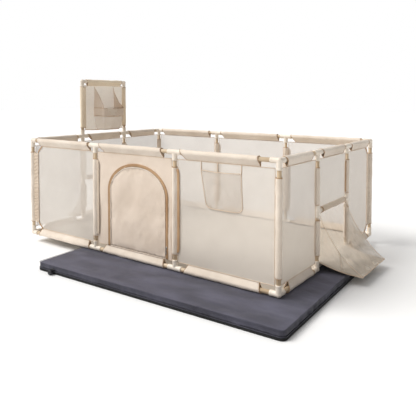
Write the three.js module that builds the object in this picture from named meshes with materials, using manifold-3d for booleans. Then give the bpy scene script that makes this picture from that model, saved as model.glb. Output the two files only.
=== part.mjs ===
// A rectangular play yard: a push-together tube frame of three bays a side, fabric and mesh walls,
// a zipped door flap, a goal with a net at each short end, a backboard with a basket,
// a side pocket, a sewn floor, and a loose mat that lies under the frame.
// Millimetres, +Z up. The origin is on the floor, below the middle of the frame.
// X runs along the front, and the front faces -Y.

import * as THREE from "three";
import { mergeVertices } from "three/addons/utils/BufferGeometryUtils.js";
import Module from "manifold-3d";

const wasm = await Module();
wasm.setup();

// Driving dimensions.
const BAYS = 3;
const BAY_LONG = 618;
const BAY_SHORT = 424;
const FRAME_HEIGHT = 620; // bottom tube centre to top tube centre
const TUBE_RADIUS = 11;
const TUBE_WALL = 1;
const CONNECTOR_RADIUS = 14;
const CONNECTOR_ARM = 45; // junction centre to the end of an arm
const SOCKET_FLOOR = 20; // junction centre to the floor of a socket
const GAP = 0.3;
const CUT = 1; // how far a cutting solid runs past what it cuts
const CLOTH = 3; // thickness of every sheet
const ROUND_SIDES = 12;
const ARCH_STEPS = 10;
const CORNER_STEPS = 6;

const MAT_LENGTH = 1524;
const MAT_DEPTH = 1067;
const MAT_THICKNESS = 48;
const MAT_CORNER_RADIUS = 28;
const MAT_TURN = THREE.MathUtils.degToRad(2);
const MAT_CENTRE = new THREE.Vector2(324, -412);
const VALVE_FROM_CORNER = 132;
const VALVE_RADIUS = 15;
const VALVE_LENGTH = 18;
const VALVE_NECK = 8; // how far the neck stands out of the mat's edge
const VALVE_HEIGHT = VALVE_RADIUS + 1;
const GRIP_RIBS = 6;
const GRIP_RIB_RADIUS = 1.2;

const CROSSBAR_HEIGHT = 310; // above the bottom tube centre
const GOAL_DEPTH = 236;
const GOAL_FOOT_RISE = 32; // the net's front edge above the bottom tube centre
const GOAL_TOP_LEDGE = 14; // how far the net stands out under the crossbar
const GOAL_LIP = 10; // how high the net's far edge stands off the mat
const BACKBOARD_HEIGHT = 405; // top rail centre to the backboard's top tube centre
const BACKBOARD_CLEARANCE = 46; // top rail centre to the lower edge of the cloth

const DOOR_CENTRE = 31; // sideways from the middle of the front
const DOOR_HALF_WIDTH = 213;
const DOOR_BOTTOM = 40; // these three are above the bottom tube centre
const DOOR_SPRING = 367;
const DOOR_TOP = 517;
const ZIP_GAP = 2.5;

const HOOP_WIDTH = 205;
const HOOP_DEPTH = 114;
const HOOP_BAND = 60;
const HOOP_RISE = 209; // top rail centre to the top of the band
const GUSSET_RISE = 162; // top of the band to the top of a gusset
const HOOP_NET_DROP = 108;
const HOOP_NET_TAPER = 24; // how much each side of the net comes in on its way down
const GUSSET_TIP = 6;

const POCKET_LEFT = 1410; // these four are from the frame's left end and the bottom tube centre
const POCKET_RIGHT = 1655;
const POCKET_TOP = 540;
const POCKET_BOTTOM = 350;
const POCKET_DEPTH = 16;

const SLIDER_BODY = new THREE.Vector3(9, 5, 14);
const SLIDER_PULL = new THREE.Vector3(6, 1.6, 34);
const SLIDER_HEIGHT = 92; // the body's lower end above the bottom tube centre
const ZIP_BESIDE_DOOR = 5; // from the door's slit to the middle of the slider

const HALF_LONG = (BAYS * BAY_LONG) / 2;
const HALF_SHORT = (BAYS * BAY_SHORT) / 2;
const BOTTOM_Z = MAT_THICKNESS + GAP + CONNECTOR_RADIUS;
const TOP_Z = BOTTOM_Z + FRAME_HEIGHT;
const CLEAR = CONNECTOR_RADIUS + 0.8; // from a tube's centre to the nearest cloth
const HALF_CLOTH = CLOTH / 2;

const PLASTIC = { color: 0xebdece, roughness: 0.45, metalness: 0 };
const TUBE = { color: 0xc8af8c, roughness: 0.4, metalness: 0 };
const OXFORD = { color: 0xe2d0be, roughness: 0.9, metalness: 0 };
const MESH_CLOTH = { color: 0xd7d0c6, roughness: 0.95, metalness: 0 };
const PLUSH = { color: 0x68666f, roughness: 0.98, metalness: 0 };
const DARK_PLASTIC = { color: 0x26262a, roughness: 0.5, metalness: 0 };
const ZIP_METAL = { color: 0x8f8d88, roughness: 0.35, metalness: 0.8 };

// --- Solids -------------------------------------------------------------------------------------

// A closed three.js geometry as a solid that can be joined and cut.
function solid(geometry) {
  const bare = geometry.index ? geometry.toNonIndexed() : geometry.clone();
  bare.deleteAttribute("normal");
  bare.deleteAttribute("uv");
  const merged = mergeVertices(bare, 1e-4);
  return new wasm.Manifold(
    new wasm.Mesh({
      numProp: 3,
      vertProperties: merged.attributes.position.array,
      triVerts: new Uint32Array(merged.index.array),
    }),
  );
}

function geometryOf(body) {
  const mesh = body.getMesh();
  const geometry = new THREE.BufferGeometry();
  geometry.setAttribute("position", new THREE.BufferAttribute(mesh.vertProperties, 3));
  geometry.setIndex(new THREE.BufferAttribute(mesh.triVerts, 1));
  geometry.computeVertexNormals();
  return geometry;
}

const union = (bodies) => bodies.reduce((all, body) => all.add(body));

// A round bar between two distances along a direction, measured from a centre.
function bar(radius, direction, from, to, centre = new THREE.Vector3()) {
  const geometry = new THREE.CylinderGeometry(radius, radius, to - from, ROUND_SIDES);
  const along = direction.clone().normalize();
  const turn = new THREE.Quaternion().setFromUnitVectors(new THREE.Vector3(0, 1, 0), along);
  geometry.applyQuaternion(turn);
  const middle = centre.clone().addScaledVector(along, (from + to) / 2);
  geometry.translate(middle.x, middle.y, middle.z);
  return solid(geometry);
}

// A box between two corners.
function block(low, high) {
  const size = high.clone().sub(low);
  const geometry = new THREE.BoxGeometry(size.x, size.y, size.z);
  const middle = low.clone().add(high).multiplyScalar(0.5);
  geometry.translate(middle.x, middle.y, middle.z);
  return solid(geometry);
}

const at = (x, y, z) => new THREE.Vector3(x, y, z);
const RIGHT = at(1, 0, 0);
const LEFT = at(-1, 0, 0);
const BACK = at(0, 1, 0);
const FRONT = at(0, -1, 0);
const UP = at(0, 0, 1);
const DOWN = at(0, 0, -1);

const playYard = new THREE.Group();

function place(parent, name, body, material, position = at(0, 0, 0)) {
  const mesh = new THREE.Mesh(geometryOf(body), new THREE.MeshStandardMaterial(material));
  mesh.name = name;
  mesh.position.copy(position);
  parent.add(mesh);
}

// --- Frame --------------------------------------------------------------------------------------

// A hollow tube from one point to another.
function tube(start, end) {
  const run = end.clone().sub(start);
  const length = run.length();
  const outside = bar(TUBE_RADIUS, run, 0, length, start);
  return outside.subtract(bar(TUBE_RADIUS - TUBE_WALL, run, -CUT, length + CUT, start));
}

// A moulded connector: an arm along each direction with a socket in its end. Directions in
// `through` share one bore that runs right through the junction, for a tube that passes it.
function connector(arms, through = []) {
  const outer = arms.map((arm) => bar(CONNECTOR_RADIUS, arm, 0, CONNECTOR_ARM));
  const knuckle = solid(new THREE.SphereGeometry(CONNECTOR_RADIUS, ROUND_SIDES, ROUND_SIDES / 2));
  const boreRadius = TUBE_RADIUS + GAP;
  const reach = CONNECTOR_ARM + CUT;
  let body = union([knuckle, ...outer]);
  for (const arm of arms) {
    const start = through.includes(arm) ? -reach : SOCKET_FLOOR;
    body = body.subtract(bar(boreRadius, arm, start, reach));
  }
  return body;
}

// The twelve places where a post stands, each with its name and the sides that its rails go to.
function postPlaces() {
  const places = [
    { name: "front_left", x: -HALF_LONG, y: -HALF_SHORT, rails: [RIGHT, BACK], corner: true },
    { name: "front_right", x: HALF_LONG, y: -HALF_SHORT, rails: [LEFT, BACK], corner: true },
    { name: "back_left", x: -HALF_LONG, y: HALF_SHORT, rails: [RIGHT, FRONT], corner: true },
    { name: "back_right", x: HALF_LONG, y: HALF_SHORT, rails: [LEFT, FRONT], corner: true },
  ];
  for (let i = 1; i < BAYS; i += 1) {
    const x = -HALF_LONG + i * BAY_LONG;
    const y = -HALF_SHORT + i * BAY_SHORT;
    places.push({ name: `front_${i}`, x, y: -HALF_SHORT, rails: [LEFT, RIGHT] });
    places.push({ name: `back_${i}`, x, y: HALF_SHORT, rails: [LEFT, RIGHT] });
    places.push({ name: `left_${i}`, x: -HALF_LONG, y, rails: [FRONT, BACK], goal: true });
    places.push({ name: `right_${i}`, x: HALF_LONG, y, rails: [FRONT, BACK], goal: true });
  }
  return places;
}

const TUBE_SEAT = SOCKET_FLOOR + GAP; // junction centre to the end of a tube in its socket

function addPostsAndConnectors(parent) {
  for (const post of postPlaces()) {
    const start = at(0, 0, BOTTOM_Z + TUBE_SEAT);
    const end = at(0, 0, TOP_Z - TUBE_SEAT);
    place(parent, `post_${post.name}`, tube(start, end), TUBE, at(post.x, post.y, 0));
    const carriesBackboard = post.name.startsWith("left_");
    const topArms = carriesBackboard ? [...post.rails, DOWN, UP] : [...post.rails, DOWN];
    const through = post.corner ? [] : [post.rails[0]];
    const top = connector(topArms, through);
    place(parent, `top_connector_${post.name}`, top, PLASTIC, at(post.x, post.y, TOP_Z));
    if (!post.goal) {
      const bottom = connector([...post.rails, UP], through);
      place(parent, `bottom_connector_${post.name}`, bottom, PLASTIC, at(post.x, post.y, BOTTOM_Z));
    }
  }
}

// The rails of one side that run the whole way between two corners.
function addLongRails(parent) {
  const reachX = HALF_LONG - TUBE_SEAT;
  const reachY = HALF_SHORT - TUBE_SEAT;
  for (const [side, sign] of [["front", -1], ["back", 1]]) {
    const rail = tube(at(-reachX, 0, 0), at(reachX, 0, 0));
    place(parent, `top_rail_${side}`, rail, TUBE, at(0, sign * HALF_SHORT, TOP_Z));
    place(parent, `bottom_rail_${side}`, rail, TUBE, at(0, sign * HALF_SHORT, BOTTOM_Z));
  }
  for (const [side, sign] of [["left", -1], ["right", 1]]) {
    const rail = tube(at(0, -reachY, 0), at(0, reachY, 0));
    place(parent, `top_rail_${side}`, rail, TUBE, at(sign * HALF_LONG, 0, TOP_Z));
  }
}

// A short bottom rail of a goal side, with the elbow that the goal post stands in.
function addGoalSideRails(parent) {
  for (const [side, signX] of [["left", -1], ["right", 1]]) {
    for (const [end, signY] of [["front", -1], ["back", 1]]) {
      const outward = at(0, signY, 0);
      const elbow = connector([UP, outward]);
      const socketPlug = bar(TUBE_RADIUS + GAP, outward, SOCKET_FLOOR - CUT, CONNECTOR_ARM);
      const rail = tube(at(0, 0, 0), at(0, signY * (BAY_SHORT - TUBE_SEAT), 0));
      const elbowRoom = bar(CONNECTOR_RADIUS, outward, -CUT, CONNECTOR_ARM - CUT);
      const outsideElbow = rail.subtract(elbowRoom);
      const body = union([elbow, socketPlug, outsideElbow]);
      const y = (signY * BAY_SHORT) / 2;
      place(parent, `bottom_rail_${side}_${end}`, body, TUBE, at(signX * HALF_LONG, y, BOTTOM_Z));
    }
  }
}

// A hollow crossbar at half height, with a sliding tee at each end that grips a goal post.
function crossbar() {
  const halfBay = BAY_SHORT / 2;
  const bore = TUBE_RADIUS + GAP;
  const reach = CONNECTOR_ARM + CUT;
  let body = bar(TUBE_RADIUS, BACK, -halfBay, halfBay);
  for (const end of [-1, 1]) {
    const junction = at(0, end * halfBay, 0);
    const toMiddle = at(0, -end, 0);
    const tee = bar(CONNECTOR_RADIUS, UP, -CONNECTOR_ARM, CONNECTOR_ARM, junction);
    body = union([body, tee, bar(CONNECTOR_RADIUS, toMiddle, 0, CONNECTOR_ARM, junction)]);
    body = body.subtract(bar(bore, UP, -reach, reach, junction));
  }
  return body.subtract(bar(TUBE_RADIUS - TUBE_WALL, BACK, -halfBay, halfBay));
}

// The backboard's two uprights, top tube and elbows, hollow from one upright's foot to the other's.
function backboardFrame() {
  const halfBay = BAY_SHORT / 2;
  const uprightLength = BACKBOARD_HEIGHT - TUBE_SEAT;
  const boreRadius = TUBE_RADIUS - TUBE_WALL;
  const junctions = [at(0, -halfBay, BACKBOARD_HEIGHT), at(0, halfBay, BACKBOARD_HEIGHT)];
  const pieces = [bar(TUBE_RADIUS, BACK, 0, BAY_SHORT, junctions[0])];
  const bores = [bar(boreRadius, BACK, 0, BAY_SHORT, junctions[0])];
  for (const [i, junction] of junctions.entries()) {
    const toMiddle = i === 0 ? BACK : FRONT;
    pieces.push(bar(TUBE_RADIUS, DOWN, 0, uprightLength, junction));
    pieces.push(bar(CONNECTOR_RADIUS, DOWN, 0, CONNECTOR_ARM, junction));
    pieces.push(bar(CONNECTOR_RADIUS, toMiddle, 0, CONNECTOR_ARM, junction));
    bores.push(bar(boreRadius, DOWN, 0, uprightLength + CUT, junction));
    const knuckle = new THREE.SphereGeometry(CONNECTOR_RADIUS, ROUND_SIDES, ROUND_SIDES / 2);
    knuckle.translate(junction.x, junction.y, junction.z);
    pieces.push(solid(knuckle));
  }
  return union(pieces).subtract(union(bores));
}

// --- Fabric -------------------------------------------------------------------------------------

// The door's outline: straight legs under half an ellipse, on a plane of width and height.
function archShape(margin) {
  const shape = new THREE.Shape();
  const half = DOOR_HALF_WIDTH + margin;
  shape.moveTo(-half, DOOR_BOTTOM - margin);
  shape.lineTo(half, DOOR_BOTTOM - margin);
  shape.lineTo(half, DOOR_SPRING);
  shape.absellipse(0, DOOR_SPRING, half, DOOR_TOP - DOOR_SPRING + margin, 0, Math.PI, false, 0);
  shape.closePath();
  return shape;
}

// An upright sheet cut to the door's outline, centred on the wall's plane.
function arch(margin, thickness) {
  const settings = { depth: thickness, bevelEnabled: false, curveSegments: ARCH_STEPS };
  const geometry = new THREE.ExtrudeGeometry(archShape(margin), settings);
  geometry.translate(0, 0, -thickness / 2);
  geometry.rotateX(Math.PI / 2);
  return solid(geometry);
}

const WALL_LOW = BOTTOM_Z + CLEAR;
const WALL_HIGH = TOP_Z - CLEAR;

// A wall along X, centred on its own middle: flat cloth in each bay, in the plane of the tubes,
// joined by a half sleeve round the outer side (-Y) of each post between two bays.
function wall(bay) {
  const half = (BAYS * bay) / 2;
  const low = at(-half + CLEAR, -HALF_CLOTH, WALL_LOW);
  const high = at(half - CLEAR, HALF_CLOTH, WALL_HIGH);
  const sleeveRadius = CLEAR + HALF_CLOTH;
  let body = block(low, high);
  for (let i = 1; i < BAYS; i += 1) {
    const post = at(-half + i * bay, 0, 0);
    const sleeve = bar(sleeveRadius + HALF_CLOTH, UP, WALL_LOW, WALL_HIGH, post);
    const hollow = bar(sleeveRadius - HALF_CLOTH, UP, WALL_LOW - CUT, WALL_HIGH + CUT, post);
    const innerHalf = block(
      at(post.x - bay / 4, HALF_CLOTH, WALL_LOW - CUT),
      at(post.x + bay / 4, bay / 4, WALL_HIGH + CUT),
    );
    body = body.add(sleeve).subtract(hollow).subtract(innerHalf);
  }
  return body;
}

function frontWall() {
  const doorway = arch(ZIP_GAP, 4 * CLOTH).translate([DOOR_CENTRE, 0, BOTTOM_Z]);
  return wall(BAY_LONG).subtract(doorway);
}

// A short wall with the goal's mouth cut out under the crossbar.
function goalWall() {
  const barZ = BOTTOM_Z + CROSSBAR_HEIGHT;
  const insidePosts = BAY_SHORT / 2 - CLEAR - CLOTH;
  const mouth = block(
    at(-insidePosts, -CLEAR, WALL_LOW - CUT),
    at(insidePosts, CLEAR, barZ),
  );
  const barSlot = block(
    at(-BAY_SHORT / 2, -CLEAR, barZ - CLEAR),
    at(BAY_SHORT / 2, CLEAR, barZ + CLEAR),
  );
  return wall(BAY_SHORT).subtract(mouth).subtract(barSlot);
}

// A convex outline, given anticlockwise, with every edge moved inwards by the same distance.
function insetOutline(points, distance) {
  const edges = points.map((point, i) => {
    const along = points[(i + 1) % points.length].clone().sub(point).normalize();
    const inward = new THREE.Vector2(-along.y, along.x);
    return { start: point.clone().addScaledVector(inward, distance), along };
  });
  return edges.map((edge, i) => {
    const before = edges[(i + edges.length - 1) % edges.length];
    const between = edge.start.clone().sub(before.start);
    const travel = between.cross(edge.along) / before.along.cross(edge.along);
    return before.start.clone().addScaledVector(before.along, travel);
  });
}

// The goal's net, as a thin wedge open towards the frame. Local X points away from the frame.
function goalNet() {
  const halfWidth = BAY_SHORT / 2 - CLEAR - 2 * CLOTH;
  const start = CLEAR + CLOTH;
  const top = BOTTOM_Z + CROSSBAR_HEIGHT - CONNECTOR_RADIUS;
  const foot = BOTTOM_Z + GOAL_FOOT_RISE;
  const lowest = MAT_THICKNESS + GAP;
  const outline = [
    new THREE.Vector2(start, foot),
    new THREE.Vector2(GOAL_DEPTH - GOAL_LIP, lowest),
    new THREE.Vector2(GOAL_DEPTH, lowest + GOAL_LIP),
    new THREE.Vector2(start + GOAL_TOP_LEDGE, top),
    new THREE.Vector2(start, top),
  ];
  const wedge = (points, width) => {
    const settings = { depth: width, bevelEnabled: false };
    const geometry = new THREE.ExtrudeGeometry(new THREE.Shape(points), settings);
    geometry.rotateX(Math.PI / 2);
    geometry.translate(0, width / 2, 0);
    return solid(geometry);
  };
  const hollow = wedge(insetOutline(outline, CLOTH), 2 * (halfWidth - CLOTH));
  const mouth = block(
    at(start - CUT, -halfWidth + CLOTH, foot + CLOTH),
    at(start + CLOTH + CUT, halfWidth - CLOTH, top - CLOTH),
  );
  return wedge(outline, 2 * halfWidth).subtract(hollow).subtract(mouth);
}

// The basket's fabric band with its two triangular gussets. Local X points away from the board.
function hoopBand() {
  const half = HOOP_WIDTH / 2;
  const back = HALF_CLOTH + GAP;
  const outer = block(at(back, -half, -HOOP_BAND), at(HOOP_DEPTH, half, 0));
  const inner = block(
    at(back - CUT, -half + CLOTH, -HOOP_BAND - CUT),
    at(HOOP_DEPTH - CLOTH, half - CLOTH, CUT),
  );
  const gussetShape = new THREE.Shape();
  gussetShape.moveTo(back, -CLOTH);
  gussetShape.lineTo(HOOP_DEPTH, -CLOTH);
  gussetShape.lineTo(back + GUSSET_TIP, GUSSET_RISE);
  gussetShape.lineTo(back, GUSSET_RISE);
  gussetShape.closePath();
  const gussets = [-half + CLOTH, half].map((side) => {
    const settings = { depth: CLOTH, bevelEnabled: false };
    const geometry = new THREE.ExtrudeGeometry(gussetShape, settings);
    geometry.rotateX(Math.PI / 2);
    geometry.translate(0, side, 0);
    return solid(geometry);
  });
  return union([outer.subtract(inner), ...gussets]);
}

// The net under the band: four sloping sides, open above and below.
function hoopNet() {
  const top = -HOOP_BAND - GAP;
  const back = HALF_CLOTH + GAP;
  const funnel = (inset, low, high) => {
    const ring = (narrowing, z) => [
      at(back + inset, -HOOP_WIDTH / 2 + inset + narrowing, z),
      at(HOOP_DEPTH - inset - narrowing, -HOOP_WIDTH / 2 + inset + narrowing, z),
      at(HOOP_DEPTH - inset - narrowing, HOOP_WIDTH / 2 - inset - narrowing, z),
      at(back + inset, HOOP_WIDTH / 2 - inset - narrowing, z),
    ];
    const corners = [...ring(HOOP_NET_TAPER, low), ...ring(0, high)];
    const faces = [
      [0, 2, 1], [0, 3, 2], [4, 5, 6], [4, 6, 7],
      [0, 1, 5], [0, 5, 4], [1, 2, 6], [1, 6, 5],
      [2, 3, 7], [2, 7, 6], [3, 0, 4], [3, 4, 7],
    ];
    const geometry = new THREE.BufferGeometry().setFromPoints(corners);
    geometry.setIndex(faces.flat());
    return solid(geometry);
  };
  const low = top - HOOP_NET_DROP;
  const outside = funnel(0, low, top);
  return outside.subtract(funnel(CLOTH, low - CUT, top + CUT));
}

// A pouch open at the top. Local Y points into the wall.
function pocket() {
  const half = (POCKET_RIGHT - POCKET_LEFT) / 2;
  const height = POCKET_TOP - POCKET_BOTTOM;
  const outer = block(at(-half, -POCKET_DEPTH, 0), at(half, 0, height));
  const inner = block(
    at(-half + CLOTH, -POCKET_DEPTH + CLOTH, CLOTH),
    at(half - CLOTH, CUT, height + CUT),
  );
  return outer.subtract(inner);
}

function addFabric(parent) {
  const front = new THREE.Group();
  front.position.set(0, -HALF_SHORT, 0);
  place(front, "front_wall", frontWall(), OXFORD);
  const flap = arch(0, CLOTH);
  place(front, "door_flap", flap, OXFORD, at(DOOR_CENTRE, 0, BOTTOM_Z));
  const pocketX = (POCKET_LEFT + POCKET_RIGHT) / 2 - HALF_LONG;
  const pocketY = -HALF_CLOTH - GAP;
  place(front, "pocket", pocket(), MESH_CLOTH, at(pocketX, pocketY, BOTTOM_Z + POCKET_BOTTOM));
  parent.add(front);

  const back = new THREE.Group();
  back.position.set(0, HALF_SHORT, 0);
  back.rotation.z = Math.PI;
  place(back, "back_wall", wall(BAY_LONG), MESH_CLOTH);
  parent.add(back);

  for (const [side, sign] of [["left", -1], ["right", 1]]) {
    const end = new THREE.Group();
    end.position.set(sign * HALF_LONG, 0, 0);
    end.rotation.z = (sign * Math.PI) / 2;
    place(end, `${side}_wall`, goalWall(), MESH_CLOTH);
    parent.add(end);

    const goal = new THREE.Group();
    goal.position.set(sign * HALF_LONG, 0, 0);
    goal.rotation.z = sign > 0 ? 0 : Math.PI;
    place(goal, `goal_net_${side}`, goalNet(), MESH_CLOTH);
    place(goal, `goal_crossbar_${side}`, crossbar(), TUBE, at(0, 0, BOTTOM_Z + CROSSBAR_HEIGHT));
    parent.add(goal);
  }

  const floorX = HALF_LONG - CLEAR - HALF_CLOTH;
  const floorY = HALF_SHORT - CLEAR - HALF_CLOTH;
  const floorZ = MAT_THICKNESS + 2 * GAP;
  const floor = block(at(-floorX, -floorY, floorZ), at(floorX, floorY, floorZ + CLOTH));
  place(parent, "floor_cloth", floor, OXFORD);
}

function addBackboard(parent) {
  const board = new THREE.Group();
  board.position.set(-HALF_LONG, 0, TOP_Z);
  place(board, "backboard_frame", backboardFrame(), TUBE);
  const halfCloth = BAY_SHORT / 2 - CLEAR;
  const cloth = block(
    at(-HALF_CLOTH, -halfCloth, BACKBOARD_CLEARANCE),
    at(HALF_CLOTH, halfCloth, BACKBOARD_HEIGHT - CLEAR),
  );
  place(board, "backboard_cloth", cloth, OXFORD);
  place(board, "hoop_band", hoopBand(), OXFORD, at(0, 0, HOOP_RISE));
  place(board, "hoop_net", hoopNet(), MESH_CLOTH, at(0, 0, HOOP_RISE));
  parent.add(board);
}

// --- Zip slider, mat and valve ------------------------------------------------------------------

// A slider body with its pull hanging from its lower third, in front of the wall.
function zipSlider() {
  const clothFace = -HALF_CLOTH - GAP;
  const bodyFront = clothFace - SLIDER_BODY.y;
  const pullTop = SLIDER_BODY.z / 3;
  const body = block(
    at(-SLIDER_BODY.x / 2, bodyFront, 0),
    at(SLIDER_BODY.x / 2, clothFace, SLIDER_BODY.z),
  );
  const pull = block(
    at(-SLIDER_PULL.x / 2, bodyFront - SLIDER_PULL.y / 2, pullTop - SLIDER_PULL.z),
    at(SLIDER_PULL.x / 2, bodyFront + SLIDER_PULL.y / 2, pullTop),
  );
  return union([body, pull]);
}

// The mat: a slab with rounded corners, with the valve's short neck on its front edge.
function matSolid() {
  const halfX = MAT_LENGTH / 2;
  const halfY = MAT_DEPTH / 2;
  const r = MAT_CORNER_RADIUS;
  const shape = new THREE.Shape();
  shape.moveTo(-halfX + r, -halfY);
  shape.absarc(halfX - r, -halfY + r, r, -Math.PI / 2, 0, false);
  shape.absarc(halfX - r, halfY - r, r, 0, Math.PI / 2, false);
  shape.absarc(-halfX + r, halfY - r, r, Math.PI / 2, Math.PI, false);
  shape.absarc(-halfX + r, -halfY + r, r, Math.PI, 1.5 * Math.PI, false);
  shape.closePath();
  const settings = { depth: MAT_THICKNESS, bevelEnabled: false, curveSegments: CORNER_STEPS };
  const slab = solid(new THREE.ExtrudeGeometry(shape, settings));
  const neckStart = at(-halfX + VALVE_FROM_CORNER, -halfY, VALVE_HEIGHT);
  return slab.add(bar(0.7 * VALVE_RADIUS, FRONT, -CUT, VALVE_NECK, neckStart));
}

// The valve's screw cap: a drum with round grip ribs that stop short of both ends.
function valveCap() {
  const drum = bar(VALVE_RADIUS - GRIP_RIB_RADIUS / 2, FRONT, 0, VALVE_LENGTH);
  const ringRadius = VALVE_RADIUS - GRIP_RIB_RADIUS;
  const ribs = [];
  for (let i = 0; i < GRIP_RIBS; i += 1) {
    const angle = (i * 2 * Math.PI) / GRIP_RIBS;
    const rib = at(Math.cos(angle) * ringRadius, 0, Math.sin(angle) * ringRadius);
    const start = 2 * GRIP_RIB_RADIUS;
    ribs.push(bar(GRIP_RIB_RADIUS, FRONT, start, VALVE_LENGTH - GRIP_RIB_RADIUS, rib));
  }
  return union([drum, ...ribs]);
}

function addMat(parent) {
  const mat = new THREE.Group();
  mat.position.set(MAT_CENTRE.x, MAT_CENTRE.y, 0);
  mat.rotation.z = MAT_TURN;
  place(mat, "mat", matSolid(), PLUSH);
  const capX = -MAT_LENGTH / 2 + VALVE_FROM_CORNER;
  const capY = -MAT_DEPTH / 2 - VALVE_NECK - GAP;
  place(mat, "valve_cap", valveCap(), DARK_PLASTIC, at(capX, capY, VALVE_HEIGHT));
  parent.add(mat);
}

function addZipSlider(parent) {
  const x = DOOR_CENTRE + DOOR_HALF_WIDTH + ZIP_GAP + ZIP_BESIDE_DOOR;
  const z = BOTTOM_Z + SLIDER_HEIGHT;
  place(parent, "zip_slider", zipSlider(), ZIP_METAL, at(x, -HALF_SHORT, z));
}

addPostsAndConnectors(playYard);
addLongRails(playYard);
addGoalSideRails(playYard);
addFabric(playYard);
addBackboard(playYard);
addZipSlider(playYard);
addMat(playYard);

export default playYard;
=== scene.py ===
"""Looks for the play yard: tubes, fittings, cloth sleeves, mesh walls, door, goals, backboard and mat.

Metres, +Z up. The origin is on the floor below the middle of the frame, and the front faces -Y.
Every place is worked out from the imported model's own boxes.
"""

import math
import random

import bmesh
import bpy
from mathutils import Matrix, Vector, geometry, noise


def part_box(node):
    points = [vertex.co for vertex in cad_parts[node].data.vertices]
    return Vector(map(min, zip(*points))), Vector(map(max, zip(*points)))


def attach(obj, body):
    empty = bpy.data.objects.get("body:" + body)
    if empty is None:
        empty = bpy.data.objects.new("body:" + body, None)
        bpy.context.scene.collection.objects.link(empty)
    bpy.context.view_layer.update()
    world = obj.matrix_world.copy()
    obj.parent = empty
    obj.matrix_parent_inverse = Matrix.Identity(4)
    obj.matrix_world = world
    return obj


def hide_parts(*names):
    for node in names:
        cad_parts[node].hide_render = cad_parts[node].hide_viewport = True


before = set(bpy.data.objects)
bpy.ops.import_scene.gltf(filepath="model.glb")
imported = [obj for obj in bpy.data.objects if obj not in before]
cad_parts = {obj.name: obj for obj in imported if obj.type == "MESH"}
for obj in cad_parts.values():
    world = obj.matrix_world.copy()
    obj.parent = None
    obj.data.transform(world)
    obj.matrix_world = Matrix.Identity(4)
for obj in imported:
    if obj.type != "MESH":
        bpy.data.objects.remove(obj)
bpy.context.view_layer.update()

# --- Measures from the frame ----------------------------------------------------------------------


def box_centre(node):
    low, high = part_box(node)
    return (low + high) / 2


COLLAR_RADIUS = 0.014
HALF_LONG = box_centre("post_front_right").x
HALF_SHORT = box_centre("post_back_left").y
BAY_LONG = box_centre("post_front_2").x - box_centre("post_front_1").x
BAY_SHORT = box_centre("post_right_2").y - box_centre("post_right_1").y
TOP_Z = box_centre("top_rail_front").z
BOTTOM_Z = box_centre("bottom_rail_front").z
BAR_Z = box_centre("goal_crossbar_right").z
BOARD_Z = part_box("backboard_frame")[1].z - COLLAR_RADIUS
MAT_LOW, MAT_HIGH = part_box("mat")
MAT_TOP = MAT_HIGH.z

TUBE_RADIUS = 0.011
FITTING_RADIUS = 0.0138
ARM = 0.045
CLOTH = 0.0011  # the thickness of the heavier cloth
THIN_CLOTH = 0.0009
WAYS = {
    "right": Vector((1, 0, 0)),
    "left": Vector((-1, 0, 0)),
    "back": Vector((0, 1, 0)),
    "front": Vector((0, -1, 0)),
    "up": Vector((0, 0, 1)),
    "down": Vector((0, 0, -1)),
}
UP = WAYS["up"]
ENDS = (("front", -1), ("back", 1))
GOAL_SIDES = (("left", -1), ("right", 1))

# Each side: the direction its bays are counted in, its outward direction, its bay, and its distance out.
SIDES = {
    "front": (WAYS["right"], WAYS["front"], BAY_LONG, HALF_SHORT),
    "back": (WAYS["right"], WAYS["back"], BAY_LONG, HALF_SHORT),
    "left": (WAYS["back"], WAYS["left"], BAY_SHORT, HALF_LONG),
    "right": (WAYS["back"], WAYS["right"], BAY_SHORT, HALF_LONG),
}


def on_side(side, along, height, out=0.0):
    """A point of a side, from its middle, its height and its distance outwards."""
    direction, outward, _, distance = SIDES[side]
    return direction * along + outward * (distance + out) + UP * height


def shares(count):
    """Evenly spaced numbers from 0 to 1, in count steps."""
    return [i / count for i in range(count + 1)]


# --- Materials ------------------------------------------------------------------------------------


def linear(red, green, blue):
    """A colour given in the 0 to 255 values of a screen, for a shader."""
    parts = []
    for value in (red, green, blue):
        share = value / 255
        parts.append(share / 12.92 if share <= 0.04045 else ((share + 0.055) / 1.055) ** 2.4)
    return (*parts, 1.0)


def fill_in(tree, node, *inputs, **values):
    """Sets or links a node's inputs, in whose names _ stands for a space, and its other values."""
    for key, value in [*values.items(), *enumerate(inputs)]:
        socket = node.inputs[key] if isinstance(key, int) else node.inputs.get(key.replace("_", " "))
        if socket is None:
            setattr(node, key, value)
        elif isinstance(value, bpy.types.NodeSocket):
            tree.links.new(value, socket)
        else:
            socket.default_value = value
    return node


def shader_node(tree, kind, *inputs, **values):
    return fill_in(tree, tree.nodes.new("ShaderNode" + kind), *inputs, **values)


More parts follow.
